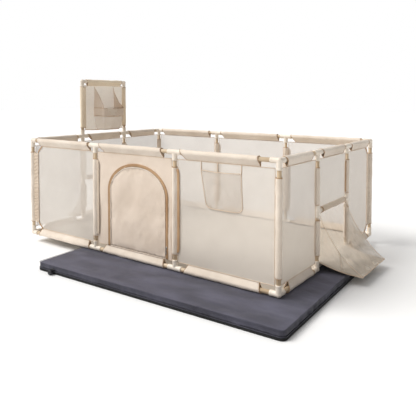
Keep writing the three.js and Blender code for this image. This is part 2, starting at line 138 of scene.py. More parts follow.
class Finish:
    """A Principled material built up from procedural layers in object space."""

    def __init__(self, name, colour, **sockets):
        self.material = bpy.data.materials.new(name)
        self.material.use_nodes = True
        self.tree = self.material.node_tree
        self.shader = self.tree.nodes["Principled BSDF"]
        self.set(Base_Color=colour, **sockets)
        coordinates = self.node("TexCoord")
        self.place = coordinates.outputs["Object"]
        self.normal = coordinates.outputs["Normal"]
        self.colour = None
        self.bumps = {}

    def set(self, **sockets):
        fill_in(self.tree, self.shader, **sockets)

    def node(self, kind, *inputs, **values):
        return shader_node(self.tree, kind, *inputs, **values)

    def noise(self, scale, detail=3.0, stretch=(1, 1, 1)):
        place = self.node("Mapping", Vector=self.place, Scale=stretch).outputs["Vector"]
        return self.node("TexNoise", Vector=place, Scale=scale, Detail=detail).outputs["Fac"]

    def weave(self, period):
        """Threads that cross in the surface's own plane: an axis counts less as the surface faces it."""
        waves = {}
        for axis in "XYZ":
            wave = self.node("TexWave", bands_direction=axis, Vector=self.place, Distortion=0.6,
                             Scale=math.pi / 10 / period, Detail_Scale=2.0)
            waves[axis] = wave.outputs["Fac"]
        threads = self.node("CombineXYZ", **waves).outputs["Vector"]
        facing = self.node("VectorMath", self.normal, self.normal, operation="MULTIPLY").outputs["Vector"]
        counts = self.node("VectorMath", (1, 1, 1), facing, operation="SUBTRACT").outputs["Vector"]
        return self.node("VectorMath", threads, counts, operation="DOT_PRODUCT").outputs["Value"]

    def paint(self, colour):
        self.colour = colour
        self.set(Base_Color=colour)

    def shade(self, fac, dark, light):
        """Colours the surface from dark to light as a layer rises through its middle values."""
        ramp = self.node("ValToRGB", Fac=fac)
        for stop, position, colour in zip(ramp.color_ramp.elements, (0.35, 0.65), (dark, light)):
            stop.position = position
            stop.color = colour
        self.paint(ramp.outputs["Color"])

    def darken(self, fac, amount):
        """Darkens the present colour by a layer's value, up to amount."""
        share = self.node("MapRange", Value=fac, To_Min=1.0 - amount, To_Max=1.0)
        mix = self.node("Mix", data_type="RGBA", blend_type="MULTIPLY", Factor=1.0, A=self.colour,
                        B=share.outputs["Result"])
        self.paint(mix.outputs["Result"])

    def bump(self, fac, distance, strength):
        """Adds a layer of bumps to those already there."""
        node = self.node("Bump", Height=fac, Distance=distance, Strength=strength, **self.bumps)
        self.bumps = {"Normal": node.outputs["Normal"]}
        self.set(**self.bumps)

    def rough(self, scale, low, high):
        spread = self.node("MapRange", Value=self.noise(scale), To_Min=low, To_Max=high)
        self.set(Roughness=spread.outputs["Result"])


def woven(name, dark, light, period, sheen=0.25, rumple=0.003, **sockets):
    """Cloth of one thread size, with soft patches of tone and a visible weave."""
    dark, light = linear(*dark), linear(*light)
    finish = Finish(name, light, Sheen_Weight=sheen, Sheen_Roughness=0.5, **sockets)
    finish.shade(finish.noise(7.0, detail=4.0), dark, light)
    threads = finish.weave(period)
    finish.darken(threads, 0.16)
    finish.bump(finish.noise(30.0), rumple, 0.3)
    finish.bump(threads, period / 4, 0.5)
    finish.rough(60.0, 0.82, 0.97)
    return finish.material


def solid(name, dark, light, tone, rough, bumps=(), pile=0.0, **sockets):
    """Patches of tone from one noise, a darker pile, bumps of several sizes and uneven roughness."""
    dark, light = linear(*dark), linear(*light)
    finish = Finish(name, light, **sockets)
    finish.shade(finish.noise(*tone), dark, light)
    if pile:
        finish.darken(finish.noise(420.0, detail=2.0), pile)
    for scale, distance, strength in bumps:
        finish.bump(finish.noise(scale), distance, strength)
    finish.rough(*rough)
    return finish.material


def moulded(name, dark, light):
    return solid(name, dark, light, tone=(14.0,), rough=(50.0, 0.38, 0.52), bumps=[(1400.0, 0.00015, 0.4)])


OXFORD = woven("oxford_cloth", (226, 211, 194), (238, 225, 210), 0.0012)
PANEL = woven("door_cloth", (220, 202, 184), (230, 213, 196), 0.0012)
# The backboard's mesh and sleeves get a near-white cloth, lighter than the walls' cloth. This is painted
# light: it keeps them bright where they face the weak fill on the right.
BOARD_PANEL = woven("backboard_mesh", (247, 228, 200), (252, 237, 212), 0.0014, Alpha=0.76)
BOARD = woven("backboard_cloth", (241, 222, 195), (248, 232, 207), 0.0014)
GATHERED = woven("gathered_cloth", (200, 180, 158), (214, 196, 175), 0.0012)
FLOOR_CLOTH = woven("floor_cloth", (206, 194, 178), (216, 205, 190), 0.0015)
BAND = woven("binding_tape", (170, 132, 94), (192, 156, 118), 0.0009, sheen=0.15)
HEM = woven("hem_tape", (208, 186, 162), (222, 202, 180), 0.0009, sheen=0.15)
NET = woven("mesh_cloth", (223, 214, 204), (229, 221, 211), 0.0022, rumple=0.001, Alpha=0.63)
GOAL_NET = woven("goal_mesh", (214, 202, 186), (224, 213, 198), 0.0022, rumple=0.002, Alpha=0.36)
POUCH = woven("pocket_mesh", (214, 200, 184), (224, 212, 198), 0.0020, rumple=0.002, Alpha=0.38)
NON_SLIP = woven("non_slip_base", (8, 8, 9), (18, 18, 20), 0.0030, sheen=0.0)
PLUSH = solid("plush", (70, 69, 84), (97, 96, 115), tone=(5.0, 6.0, (1.0, 2.2, 1)), pile=0.45,
              bumps=[(30.0, 0.003, 0.4), (700.0, 0.0016, 0.8)], rough=(90.0, 0.86, 0.99),
              Sheen_Weight=0.2, Sheen_Roughness=0.45)
PLUSH_SIDE = woven("mat_border", (52, 51, 62), (74, 73, 87), 0.0014, sheen=0.15)
TUBE = solid("tube_paint", (194, 170, 138), (213, 191, 161), tone=(9.0, 3.0, (1, 1, 0.3)),
             bumps=[(900.0, 0.0002, 0.3)], rough=(35.0, 0.34, 0.5), Coat_Weight=0.12, Coat_Roughness=0.3)
FITTING = moulded("fitting_plastic", (229, 216, 200), (240, 230, 216))
DARK = moulded("valve_plastic", (26, 26, 30), (44, 44, 50))
METAL = solid("zip_metal", (140, 136, 130), (186, 182, 176), tone=(120.0,), rough=(300.0, 0.25, 0.45),
              Metallic=0.6)

# --- Mesh helpers ---------------------------------------------------------------------------------


def new_piece(name, vertices, faces, material):
    mesh = bpy.data.meshes.new(name)
    mesh.from_pydata([tuple(v) for v in vertices], [], faces)
    mesh.materials.append(material)
    mesh.shade_smooth()
    piece = bpy.data.objects.new(name, mesh)
    bpy.context.scene.collection.objects.link(piece)
    return piece


def quads(rings, count, columns=None, loop=False):
    """Faces between each row of count points and the next, and in a loop from the last to the first."""
    faces = []
    for j in range(rings if loop else rings - 1):
        here, there = j * count, (j + 1) % rings * count
        for i in range(columns or count):
            k = (i + 1) % count
            faces.append((here + i, here + k, there + k, there + i))
    return faces


def capped(rings, count):
    """The faces of a closed tube through rings of count points each."""
    last = (rings - 1) * count
    return [*quads(rings, count), tuple(range(count - 1, -1, -1)), tuple(range(last, last + count))]


def grid(name, columns, rows, point, material, closed=False):
    """A sheet from point(u, v), with u along the columns and v along the rows, both from 0 to 1."""
    across = columns if closed else columns + 1
    vertices = [point(i / columns, j / rows) for j in range(rows + 1) for i in range(across)]
    return new_piece(name, vertices, quads(rows + 1, across, columns), material)


def edit(piece, change):
    """Lets change(work) alter the piece's mesh."""
    work = bmesh.new()
    work.from_mesh(piece.data)
    change(work)
    work.to_mesh(piece.data)
    work.free()
    return piece


def face_out(work):
    bmesh.ops.recalc_face_normals(work, faces=work.faces)


def merge_close(work, distance=1e-5):
    bmesh.ops.remove_doubles(work, verts=work.verts, dist=distance)
    bmesh.ops.dissolve_degenerate(work, edges=work.edges, dist=distance)
    face_out(work)


def thicken(piece, thickness=CLOTH):
    layer = piece.modifiers.new("thickness", "SOLIDIFY")
    layer.thickness = thickness
    layer.offset = 0.0
    return piece


def voxels(piece, name, size):
    layer = piece.modifiers.new(name, "REMESH")
    layer.mode = "VOXEL"
    layer.voxel_size = size


def bake_modifiers(piece):
    """Turns the piece's modifiers into its own mesh."""
    bpy.context.view_layer.update()
    evaluated = piece.evaluated_get(bpy.context.evaluated_depsgraph_get())
    mesh = bpy.data.meshes.new_from_object(evaluated)
    piece.modifiers.clear()
    piece.data = mesh
    mesh.shade_smooth()
    return piece


def joined(name, pieces):
    """Several pieces as one, with one material."""
    whole = new_piece(name, [], [], pieces[0].data.materials[0])
    work = bmesh.new()
    for piece in pieces:
        work.from_mesh(piece.data)
        bpy.data.objects.remove(piece)
    work.to_mesh(whole.data)
    work.free()
    whole.data.shade_smooth()
    return whole


def side_axes(direction):
    """Two directions square to this one, the second as near to up as it can be."""
    reference = UP if abs(direction.z) < 0.9 else WAYS["back"]
    first = direction.cross(reference).normalized()
    return first, first.cross(direction).normalized()


def round_ways(first, second, count):
    """Directions evenly round the plane of two directions."""
    angles = [2 * math.pi * i / count for i in range(count)]
    return [first * math.cos(angle) + second * math.sin(angle) for angle in angles]


def turned(name, start, direction, profile, material, sides=36):
    """A solid of revolution from (distance, radius) pairs along a direction, closed at its ends."""
    direction = direction.normalized()
    ways = round_ways(*side_axes(direction), sides)
    vertices = [start + direction * distance + way * radius for distance, radius in profile for way in ways]
    return edit(new_piece(name, vertices, capped(len(profile), sides), material), face_out)


def tube(name, start, end, chamfer=0.0008):
    run = end - start
    length, slim = run.length, TUBE_RADIUS - chamfer
    profile = [(0, slim), (chamfer, TUBE_RADIUS), (length - chamfer, TUBE_RADIUS), (length, slim)]
    return turned(name, start, run, profile, TUBE)


def piping(name, paths, radius, material, closed=False, sides=8):
    """Round tape along each path."""
    tapes = []
    for path in paths:
        count = len(path)
        vertices = []
        for i, point in enumerate(path):
            before = path[(i - 1) % count] if closed or i else point
            after = path[(i + 1) % count] if closed or i < count - 1 else point
            ways = round_ways(*side_axes((after - before).normalized()), sides)
            vertices.extend(point + way * radius for way in ways)
        faces = quads(count, sides, loop=True) if closed else capped(count, sides)
        tapes.append(new_piece(name + "_run", vertices, faces, material))
    return edit(joined(name, tapes), face_out)


def tape(name, path, width, outward, material):
    """A flat tape along a path, whose face looks outward and is a little crowned."""
    vertices = []
    for i, point in enumerate(path):
        before, after = path[max(i - 1, 0)], path[min(i + 1, len(path) - 1)]
        across = (after - before).normalized().cross(outward).normalized()
        for share, rise in ((-0.5, 0.0), (-0.17, 0.0006), (0.17, 0.0006), (0.5, 0.0)):
            vertices.append(point + across * width * share + outward * rise)
    return thicken(new_piece(name, vertices, quads(len(path), 4, columns=3), material), 0.0010)


def settle(piece, body="frame", stands_for=()):
    """Puts a finished piece on its body."""
    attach(piece, body)
    if stands_for:
        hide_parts(*stands_for)


def settle_cloth(cloth, slot, flat, held, trims=(), body="frame", stands_for=(), **facts):
    """Puts a sheet of cloth and the trims on it on their body."""
    settle(cloth, body, stands_for)
    for trim in trims:
        settle(trim, body)


def ripple(place, size, amount, seed=0.0):
    """A smooth random offset for cloth, of about this size of fold."""
    return noise.noise(place / size + Vector((seed, 2.3 * seed, -seed))) * amount


# --- Camera, light and floor ----------------------------------------------------------------------

CAMERA_PLACE = (2.004, -2.677, 0.972)
CAMERA_AZIMUTH = math.radians(35.92)
CAMERA_ELEVATION = math.radians(2.21)
CAMERA_LENS = 43.54  # mm, for a sensor 36 mm wide
CAMERA_SHIFT = -0.22
KEY_DIRECTION = Vector((0.62, 0.58, -1.05))
KEY_STRENGTH = 2.5
KEY_SPREAD = math.radians(32)
FILL_LEFT, FILL_RIGHT = 0.85, 0.28
FLOOR_REACH = 30.0


def grey(value):
    return (value, value, value, 1)


def stand(name, data, aim):
    """A camera or lamp that looks along aim."""
    made = bpy.data.objects.new(name, data)
    bpy.context.scene.collection.objects.link(made)
    made.rotation_euler = aim.to_track_quat("-Z", "Y").to_euler()
    return made


def add_camera():
    lens_camera = bpy.data.cameras.new("camera")
    lens_camera.lens = CAMERA_LENS
    lens_camera.sensor_width = 36
    lens_camera.shift_y = CAMERA_SHIFT
    level = math.cos(CAMERA_ELEVATION)
    back = Vector((math.sin(CAMERA_AZIMUTH) * level, -math.cos(CAMERA_AZIMUTH) * level,
                   math.sin(CAMERA_ELEVATION)))
    camera = stand("camera", lens_camera, -back)
    camera.location = CAMERA_PLACE
    bpy.context.scene.camera = camera


def add_studio():
    """White surroundings, a soft fill that weakens to the right, and a broad light from front left."""
    world = bpy.data.worlds.new("studio")
    bpy.context.scene.world = world
    world.use_nodes = True
    tree = world.node_tree
    tree.nodes.clear()
    place = shader_node(tree, "TexCoord").outputs["Generated"]
    right = shader_node(tree, "SeparateXYZ", Vector=place).outputs["X"]
    strength = shader_node(tree, "MapRange", Value=right, From_Min=-1.0, To_Min=FILL_LEFT, To_Max=FILL_RIGHT)
    fill = shader_node(tree, "Background", Color=(1.0, 0.99, 0.98, 1), Strength=strength.outputs["Result"])
    white = shader_node(tree, "Background", Color=grey(1.0))
    seen = shader_node(tree, "LightPath").outputs["Is Camera Ray"]
    mix = shader_node(tree, "MixShader", seen, fill.outputs["Background"], white.outputs["Background"])
    shader_node(tree, "OutputWorld", Surface=mix.outputs["Shader"])

    key = bpy.data.lights.new("key_light", "SUN")
    key.energy = KEY_STRENGTH
    key.angle = KEY_SPREAD
    key.color = (1, 0.99, 0.97)
    stand("key_light", key, KEY_DIRECTION)

    finish = Finish("floor_paint", grey(0.93), Roughness=0.95)
    finish.shade(finish.noise(2.0), grey(0.92), grey(0.94))
    corners = [(x * FLOOR_REACH, y * FLOOR_REACH, 0) for x, y in ((-1, -1), (1, -1), (1, 1), (-1, 1))]
    new_piece("studio_floor", corners, [(0, 1, 2, 3)], finish.material)
    bpy.context.scene.view_settings.view_transform = "Standard"


add_camera()
add_studio()

# --- Tubes and fittings ---------------------------------------------------------------------------

POSTS = [name.removeprefix("post_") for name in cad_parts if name.startswith("post_")]
SOCKET = 0.0203  # how far from a fitting's centre a tube that stands in it begins
KNUCKLE = 0.0152
SHORT_ARM = 0.036


def post_place(post):
    return box_centre(f"post_{post}").xy.to_3d()


def rail_directions(post):
    """The directions in which rails leave a post's fittings."""
    if post[-1].isdigit():
        return ["left", "right"] if post.startswith(("front_", "back_")) else ["front", "back"]
    face, end = post.split("_")
    return ["right" if end == "left" else "left", "back" if face == "front" else "front"]


def arm_profile(length):
    """A fitting's arm: a slim barrel that ends in a rounded collar."""
    slim = FITTING_RADIUS
    wide = slim + 0.0012
    collar = [(length - 0.009, wide), (length - 0.0015, wide), (length, slim)]
    return [(0, slim), (length - 0.010, slim), *collar]


def fitting(name, centre, arms, length=ARM):
    """A moulded junction: arms, a knuckle where they meet, and the blends of the mould."""
    pieces = [turned(name + "_arm", centre, WAYS[arm], arm_profile(length), FITTING) for arm in arms]
    angles = [math.pi * share for share in shares(8)]
    ball = [(-math.cos(angle) * KNUCKLE, max(math.sin(angle) * KNUCKLE, 0.0005)) for angle in angles]
    pieces.append(turned(name + "_knuckle", centre, UP, ball, FITTING))
    body = joined(name, pieces)
    voxels(body, "mould", 0.0014)
    soften = body.modifiers.new("soften", "SMOOTH")
    soften.iterations = 5
    soften.factor = 0.5
    return bake_modifiers(body)


def add_fittings():
    for post in POSTS:
        arms, place = rail_directions(post), post_place(post)
        upright = ["up"] if post.startswith("left_") else []
        made = fitting(f"top_fitting_{post}", place + UP * TOP_Z, [*arms, "down", *upright])
        settle(made, stands_for=[f"top_connector_{post}"])
        bottom = f"bottom_connector_{post}"
        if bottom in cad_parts:
            made = fitting(f"bottom_fitting_{post}", place + UP * BOTTOM_Z, [*arms, "up"])
            settle(made, stands_for=[bottom])


def add_tube(node, start, end):
    settle(tube(f"{node}_tube", start, end), stands_for=[node])


def add_tubes():
    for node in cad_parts:
        if not node.startswith(("post_", "top_rail", "bottom_rail_front", "bottom_rail_back")):
            continue
        low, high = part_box(node)
        centre, size = (low + high) / 2, high - low
        axis = max(range(3), key=lambda i: size[i])
        start, end = centre.copy(), centre.copy()
        start[axis], end[axis] = low[axis], high[axis]
        add_tube(node, start, end)


def add_goal_rails():
    """The bottom rails of the goal sides, each with the elbow that its goal post stands in."""
    for side, direction in GOAL_SIDES:
        for end, sign in ENDS:
            node = f"bottom_rail_{side}_{end}"
            foot = Vector((direction * HALF_LONG, sign * BAY_SHORT / 2, BOTTOM_Z))
            far = Vector((foot.x, sign * (HALF_SHORT - SOCKET), BOTTOM_Z))
            add_tube(node, foot + Vector((0, sign * 0.02, 0)), far)
            settle(fitting(f"{node}_elbow", foot, ["up", end]))


def goal_corners(x, height):
    """The two goal posts' places at a height, as (name, way to the other, place)."""
    places = [Vector((x, sign * BAY_SHORT / 2, height)) for _, sign in ENDS]
    return ("front", "back", places[0]), ("back", "front", places[1])


def add_goal_crossbars():
    for side, sign in GOAL_SIDES:
        node = f"goal_crossbar_{side}"
        corners = goal_corners(sign * HALF_LONG, BAR_Z)
        add_tube(node, corners[0][2], corners[1][2])
        for end, inward, place in corners:
            settle(fitting(f"{node}_tee_{end}", place, [inward, "up", "down"], SHORT_ARM))


def add_backboard_frame():
    corners = goal_corners(-HALF_LONG, BOARD_Z)
    bars = [tube("backboard_top_tube", corners[0][2], corners[1][2])]
    for _, _, place in corners:
        bars.append(tube("backboard_upright", Vector((place.x, place.y, TOP_Z + SOCKET)), place))
    settle(joined("backboard_tubes", bars), stands_for=["backboard_frame"])
    for end, inward, place in corners:
        settle(fitting(f"backboard_elbow_{end}", place, [inward, "down"]))


add_fittings()
add_tubes()
add_goal_rails()
add_goal_crossbars()
add_backboard_frame()

# --- Sleeves --------------------------------------------------------------------------------------

AROUND = 44  # points round a sleeve
SLEEVE_RADIUS = TUBE_RADIUS + 0.0042
CLOSE_RADIUS = SLEEVE_RADIUS - 0.0005


def wrapped_outline(radius, seams):
    """The closed outline of cloth pulled round a tube and out to its seams, evenly spaced."""
    points = [Vector(seam) for seam in seams]
    points += [way * radius for way in round_ways(Vector((1, 0)), Vector((0, 1)), 72)]
    ring = [points[i] for i in geometry.convex_hull_2d(points)]
    start = min(range(len(ring)), key=lambda i: (ring[i] - points[0]).length)
    ring = ring[start:] + ring[:start]
    lengths = [0.0]
    for i, point in enumerate(ring):
        lengths.append(lengths[-1] + (ring[(i + 1) % len(ring)] - point).length)
    outline, at = [], 0
    for i in range(AROUND):
        wanted = lengths[-1] * i / AROUND
        while lengths[at + 1] < wanted:
            at += 1
        share = (wanted - lengths[at]) / (lengths[at + 1] - lengths[at])
        outline.append(ring[at].lerp(ring[(at + 1) % len(ring)], share))
    return outline, lengths[-1]


def sleeve(name, start, end, axes, radius, seams, rests_on, cuts=(0.0, 0.0), material=OXFORD,
           slot="wall_fabric"):
    """A cloth sleeve along a tube. Its ends are cut back by cuts at the seam, and bound with tape.

    axes are the directions of the outline's two coordinates.
    """
    outline, girth = wrapped_outline(radius, seams)
    run = end - start
    length, along = run.length, run.normalized()
    across, upright = axes
    top = max(p.y for p in outline)
    low = min(p.y for p in outline)
    seed = start.x * 3.1 + start.y * 1.7 + start.z * 5.3

    def at(u, v):
        point = outline[round(u * AROUND) % AROUND]
        back = (top - point.y) / (top - low)
        begin, finish = cuts[0] * back, length - cuts[1] * back
        place = start + along * (begin + (finish - begin) * v)
        fold = ripple(place + across * point.x * 3, 0.05, 0.0022, seed)
        fold += ripple(place * 2.0 + upright * point.y, 0.03, 0.0008, seed + 4)
        grow = 1.0 + max(fold, -0.0012) / max(point.length, 0.004)
        return place + (across * point.x + upright * point.y) * grow

    cloth = thicken(grid(name, AROUND, max(8, int(length / 0.010)), at, material, closed=True))
    ends = [[at(i / AROUND, v) for i in range(AROUND)] for v in (0.0, 1.0)]
    bound = piping(f"{name}_binding", ends, 0.0016, BAND, closed=True)
    settle_cloth(cloth, slot, (girth, length), "stretched", trims=[bound], rests_on=[rests_on])


def rail_sleeve(name, side, low, high, height, seam, rests_on, radius=SLEEVE_RADIUS, **options):
    sleeve(name, on_side(side, low, height), on_side(side, high, height), (SIDES[side][1], UP), radius,
           [seam], rests_on, **options)


DRAW = random.Random(7)
SEAM_DROP = 0.036  # rail centre to the seam under a top sleeve

# The fold's distance from the post, and the cut back at the seam, at the start and end of each bay.
FRONT_ENDS = [((0.058, 0.028), (0.064, -0.018)), ((0.036, 0.044), (0.094, -0.016)),
              ((0.038, 0.040), (0.108, -0.010))]


def top_ends(side, bay):
    if side == "front":
        return FRONT_ENDS[bay]
    near = (0.040 + DRAW.random() * 0.012, 0.036 + DRAW.random() * 0.01)
    far = (0.062 + DRAW.random() * 0.02, -0.014)
    return near, far


def add_top_sleeves():
    for side, (_, _, bay_length, _) in SIDES.items():
        for bay in range(3):
            low = (bay - 1.5) * bay_length
            (near, near_cut), (far, far_cut) = top_ends(side, bay)
            rail_sleeve(f"top_sleeve_{side}_{bay + 1}", side, low + near, low + bay_length - far, TOP_Z,
                        (-0.003, -SEAM_DROP), f"top_rail_{side}_tube", cuts=(near_cut, far_cut))


FOOT_SEAM = (-0.004, 0.036)  # a bottom sleeve's seam, outwards and up from its rail
FOOT_SLANT = 0.026  # how far the seam's end lies behind the sleeve's lower end
FOOT_ENDS = (0.048, 0.066, 0.088)  # post centre to the far end of each bay's bottom sleeve, at least


def bottom_sleeve(part, side, low, high, rail):
    rail_sleeve(f"bottom_sleeve_{part}", side, low + FOOT_SLANT, high - FOOT_SLANT / 2, BOTTOM_Z, FOOT_SEAM,
                f"bottom_rail_{rail}_tube", CLOSE_RADIUS, cuts=(-FOOT_SLANT, -FOOT_SLANT / 2))


def add_bottom_sleeves():
    for side in ("front", "back"):
        for bay in range(3):
            low = (bay - 1.5) * BAY_LONG
            near = 0.058 + DRAW.random() * 0.012
            far = FOOT_ENDS[bay] + DRAW.random() * 0.006
            bottom_sleeve(f"{side}_{bay + 1}", side, low + near, low + BAY_LONG - far, side)
    for side, _ in GOAL_SIDES:
        for end, sign in ENDS:
            low, high = sorted((sign * (BAY_SHORT / 2 + 0.062), sign * (1.5 * BAY_SHORT - 0.072)))
            bottom_sleeve(f"{side}_{end}", side, low, high, f"{side}_{end}")


POST_TOP_GAP = 0.080  # rail centre to the end of a post's sleeve
POST_FOOT_GAP = 0.074
BAR_GAPS = (0.049, 0.034)  # crossbar centre to the ends of the sleeves below and above it
# A wide corner's band: the way it goes from its post, and the way it faces.
WIDE_CORNERS = {"front_left": ("right", "front"), "back_right": ("front", "right")}
TIGHT_SEAM = 0.019
BAND_INNER, BAND_OUTER = 0.011, 0.063  # a corner's gathered band, from the post's centre


def post_seams(post):
    """The seams of a post's sleeve, in X and Y from the post."""
    ways = [WAYS[name] for name in rail_directions(post)]
    if not post[-1].isdigit():
        return [(way * TIGHT_SEAM).xy for way in ways]
    return [(ways[1] * 0.022).xy, (ways[0] * 0.020).xy]


def gathered_band(post, foot, head):
    """The elastic band between a wide corner's post and its mesh, drawn up in small pleats."""
    way, outward = (WAYS[name] for name in WIDE_CORNERS[post])
    place = post_place(post)
    width = BAND_OUTER - BAND_INNER

    def point(u, v):
        height = foot + (head - foot) * v
        shift = ripple(Vector((u * 0.05, 0, height)), 0.045, 0.016, 4.0) - 0.012 * u
        pleat = math.sin(2 * math.pi * (height + shift) / 0.0240)
        fade = math.sin(math.pi * min(1.0, max(0.0, u * 1.15))) ** 0.5
        wide = BAND_INNER + width * u + 0.0012 * pleat * u
        return place + way * wide + outward * (0.005 + 0.0018 * pleat * fade) + UP * height

    band = thicken(grid(f"gathered_band_{post}", 14, 280, point, GATHERED), 0.0008)
    settle_cloth(band, "wall_fabric", (width, (head - foot) * 1.25), "gathered",
                 rests_on=[f"post_sleeve_{post}"])


def add_post_sleeves():
    low, high = BOTTOM_Z + POST_FOOT_GAP, TOP_Z - POST_TOP_GAP
    for post in POSTS:
        place = post_place(post)
        spans = [("", low, high)]
        if post.startswith(("left_", "right_")):
            spans = [("_lower", low, BAR_Z - BAR_GAPS[0]), ("_upper", BAR_Z + BAR_GAPS[1], high)]
        for part, start, end in spans:
            sleeve(f"post_sleeve_{post}{part}", place + UP * start, place + UP * end,
                   (WAYS["right"], WAYS["back"]), CLOSE_RADIUS, post_seams(post), f"post_{post}_tube")
        if post in WIDE_CORNERS:
            gathered_band(post, low, high)


FACING_WIDTH = 0.017
FACING_PLACE = 0.0275  # post centre to the middle of the tape


def add_post_facings():
    """The tape that binds each panel's edge beside a middle post."""
    steps = 40
    low, high = BOTTOM_Z + 0.086, TOP_Z - 0.088
    for side, (_, outward, bay_length, _) in SIDES.items():
        toward = -1 if side == "right" else 1
        for post in (-0.5, 0.5):
            along = post * bay_length + toward * FACING_PLACE
            spans = [(low, high)]
            if side in ("left", "right"):
                spans = [(low, BAR_Z - 0.055), (BAR_Z + 0.045, high)]
            for part, (start, end) in enumerate(spans):
                path = []
                for i in range(steps + 1):
                    height = start + (end - start) * i / steps
                    curl = 0.008 * (1 - min(1.0, 16 * min(i, steps - i) / steps)) ** 2
                    wave = ripple(Vector((post, 0, height)), 0.09, 0.0014, 3.0)
                    path.append(on_side(side, along - toward * curl + wave, height, 0.0052 + wave / 2))
                name = f"post_facing_{side}_{1 if post < 0 else 2}_{part + 1}"
                settle(tape(name, path, FACING_WIDTH, outward, BAND if post > 0 else GATHERED))


def add_crossbar_sleeves():
    inner = BAY_SHORT / 2 - 0.052
    for side, _ in GOAL_SIDES:
        rail_sleeve(f"goal_bar_sleeve_{side}", side, -inner, inner, BAR_Z, (0.0, -0.018),
                    f"goal_crossbar_{side}_tube", material=GATHERED)


def board_sleeve(end, start, finish, upright, seam, **options):
    sleeve(f"backboard_sleeve_{end}", start, finish, (WAYS["right"], upright), SLEEVE_RADIUS, [(0.0, seam)],
           "backboard_tubes", material=BOARD, slot="panel_fabric", **options)


def add_backboard_sleeves():
    half = BAY_SHORT / 2
    board_sleeve("top", Vector((-HALF_LONG, -half + 0.036, BOARD_Z)),
                 Vector((-HALF_LONG, half - 0.032, BOARD_Z)), UP, -0.032, cuts=(0.012, 0.012))
    for (end, sign), seam in zip(ENDS, (0.033, 0.022)):
        place = Vector((-HALF_LONG, sign * half, 0))
        board_sleeve(end, place + UP * (TOP_Z + 0.062), place + UP * (BOARD_Z - 0.040), WAYS["back"],
                     -sign * seam)


add_top_sleeves()
add_bottom_sleeves()
add_post_sleeves()
add_post_facings()
add_crossbar_sleeves()
add_backboard_sleeves()

# --- Walls ----------------------------------------------------------------------------------------

PANEL_TOP = TOP_Z - 0.037
PANEL_FOOT = BOTTOM_Z + FOOT_SEAM[1]
EDGE_GAP = 0.021  # post centre to a panel's side edge
WIDE_GAP = 0.060  # the same at a wide corner, where the gathered band is
CORNER_CUT = 0.042  # how far a cut corner reaches along and down
PANEL_HEM = 0.0018
CUT_END = {("front", 0): -1, ("right", 2): 1}  # the end of a bay's panel that is at a wide corner


def slack(along, height, low, high, foot, head, seed):
    """How far a panel's cloth stands out of its plane: nothing at its edges, folds inside."""
    u = (along - low) / (high - low)
    v = (height - foot) / (head - foot)
    hold = min(1.0, 5 * min(u, 1 - u, v, 1 - v))
    place = Vector((along, seed, height))
    drag = Vector((along + 0.5 * height, seed, height - 0.3 * along))
    return hold * (ripple(place, 0.26, 0.009, seed) + ripple(drag, 0.09, 0.0016, seed + 9))


def cut_corners(piece, planes):
    def change(work):
        for place, normal in planes:
            everything = work.verts[:] + work.edges[:] + work.faces[:]
            bmesh.ops.bisect_plane(work, geom=everything, plane_co=place, plane_no=normal, clear_outer=True)

    edit(piece, change)


def hem_round(name, side, corners, spacing=0.02):
    """A hem round a closed path on a side's plane, through corners given as (along, height)."""
    path = []
    for i, corner in enumerate(corners):
        following = corners[(i + 1) % len(corners)]
        steps = max(1, int(math.dist(corner, following) / spacing))
        for j in range(steps):
            share = j / steps
            path.append(on_side(side, corner[0] + (following[0] - corner[0]) * share,
                                corner[1] + (following[1] - corner[1]) * share))
    return piping(f"{name}_hem", [path], PANEL_HEM, HEM, closed=True)


def mesh_panel(side, bay, foot, stands_for):
    direction, outward, bay_length, _ = SIDES[side]
    head = PANEL_TOP
    end = CUT_END.get((side, bay))
    low = (bay - 1.5) * bay_length + (WIDE_GAP if end == -1 else EDGE_GAP)
    high = (bay - 0.5) * bay_length - (WIDE_GAP if end == 1 else EDGE_GAP)
    seed = bay + len(side) * 3.7

    def point(u, v):
        along, height = low + (high - low) * u, foot + (head - foot) * v
        return on_side(side, along, height, slack(along, height, low, high, foot, head, seed))

    name = f"mesh_panel_{side}_{bay + 1}"
    panel = grid(name, int((high - low) / 0.012), int((head - foot) / 0.012), point, NET)
    corners = [(low, foot), (high, foot), (high, head), (low, head)]
    if end:
        planes = []
        edge = low if end < 0 else high
        inner = edge - end * CORNER_CUT
        for level, way in ((head, 1), (foot, -1)):
            planes.append((on_side(side, inner, level), (direction * end + UP * way).normalized()))
            steps = 8
            bow = []
            for i in range(steps + 1):
                along = inner + (edge - inner) * i / steps
                height = level - way * CORNER_CUT * i / steps
                bow.append(on_side(side, along + end * 0.004 * math.sin(math.pi * i / steps), height, 0.003))
            corner = f"{name}_corner_{'top' if way > 0 else 'foot'}"
            settle(tape(corner, bow, 0.009, outward, BAND))
        cut_path = [(inner, foot), (edge, foot + CORNER_CUT), (edge, head - CORNER_CUT), (inner, head)]
        if end < 0:
            corners = [(high, foot), (high, head), *reversed(cut_path)]
        else:
            corners = [(low, head), (low, foot), *cut_path]
        cut_corners(panel, planes)
    hem = hem_round(name, side, corners)
    settle_cloth(panel, "wall_fabric", (high - low, head - foot), "stretched", trims=[hem],
                 stands_for=stands_for, rests_on=[f"top_sleeve_{side}_{bay + 1}"])


def add_walls():
    """A panel in every bay but the door's. A goal's panel ends at its crossbar."""
    for side in SIDES:
        for bay in range(3):
            if (side, bay) != ("front", 1):
                goal = side in ("left", "right") and bay == 1
                foot = BAR_Z + 0.010 if goal else PANEL_FOOT
                mesh_panel(side, bay, foot, [f"{side}_wall"] if bay == 0 else ())


add_walls()

# --- Door -----------------------------------------------------------------------------------------

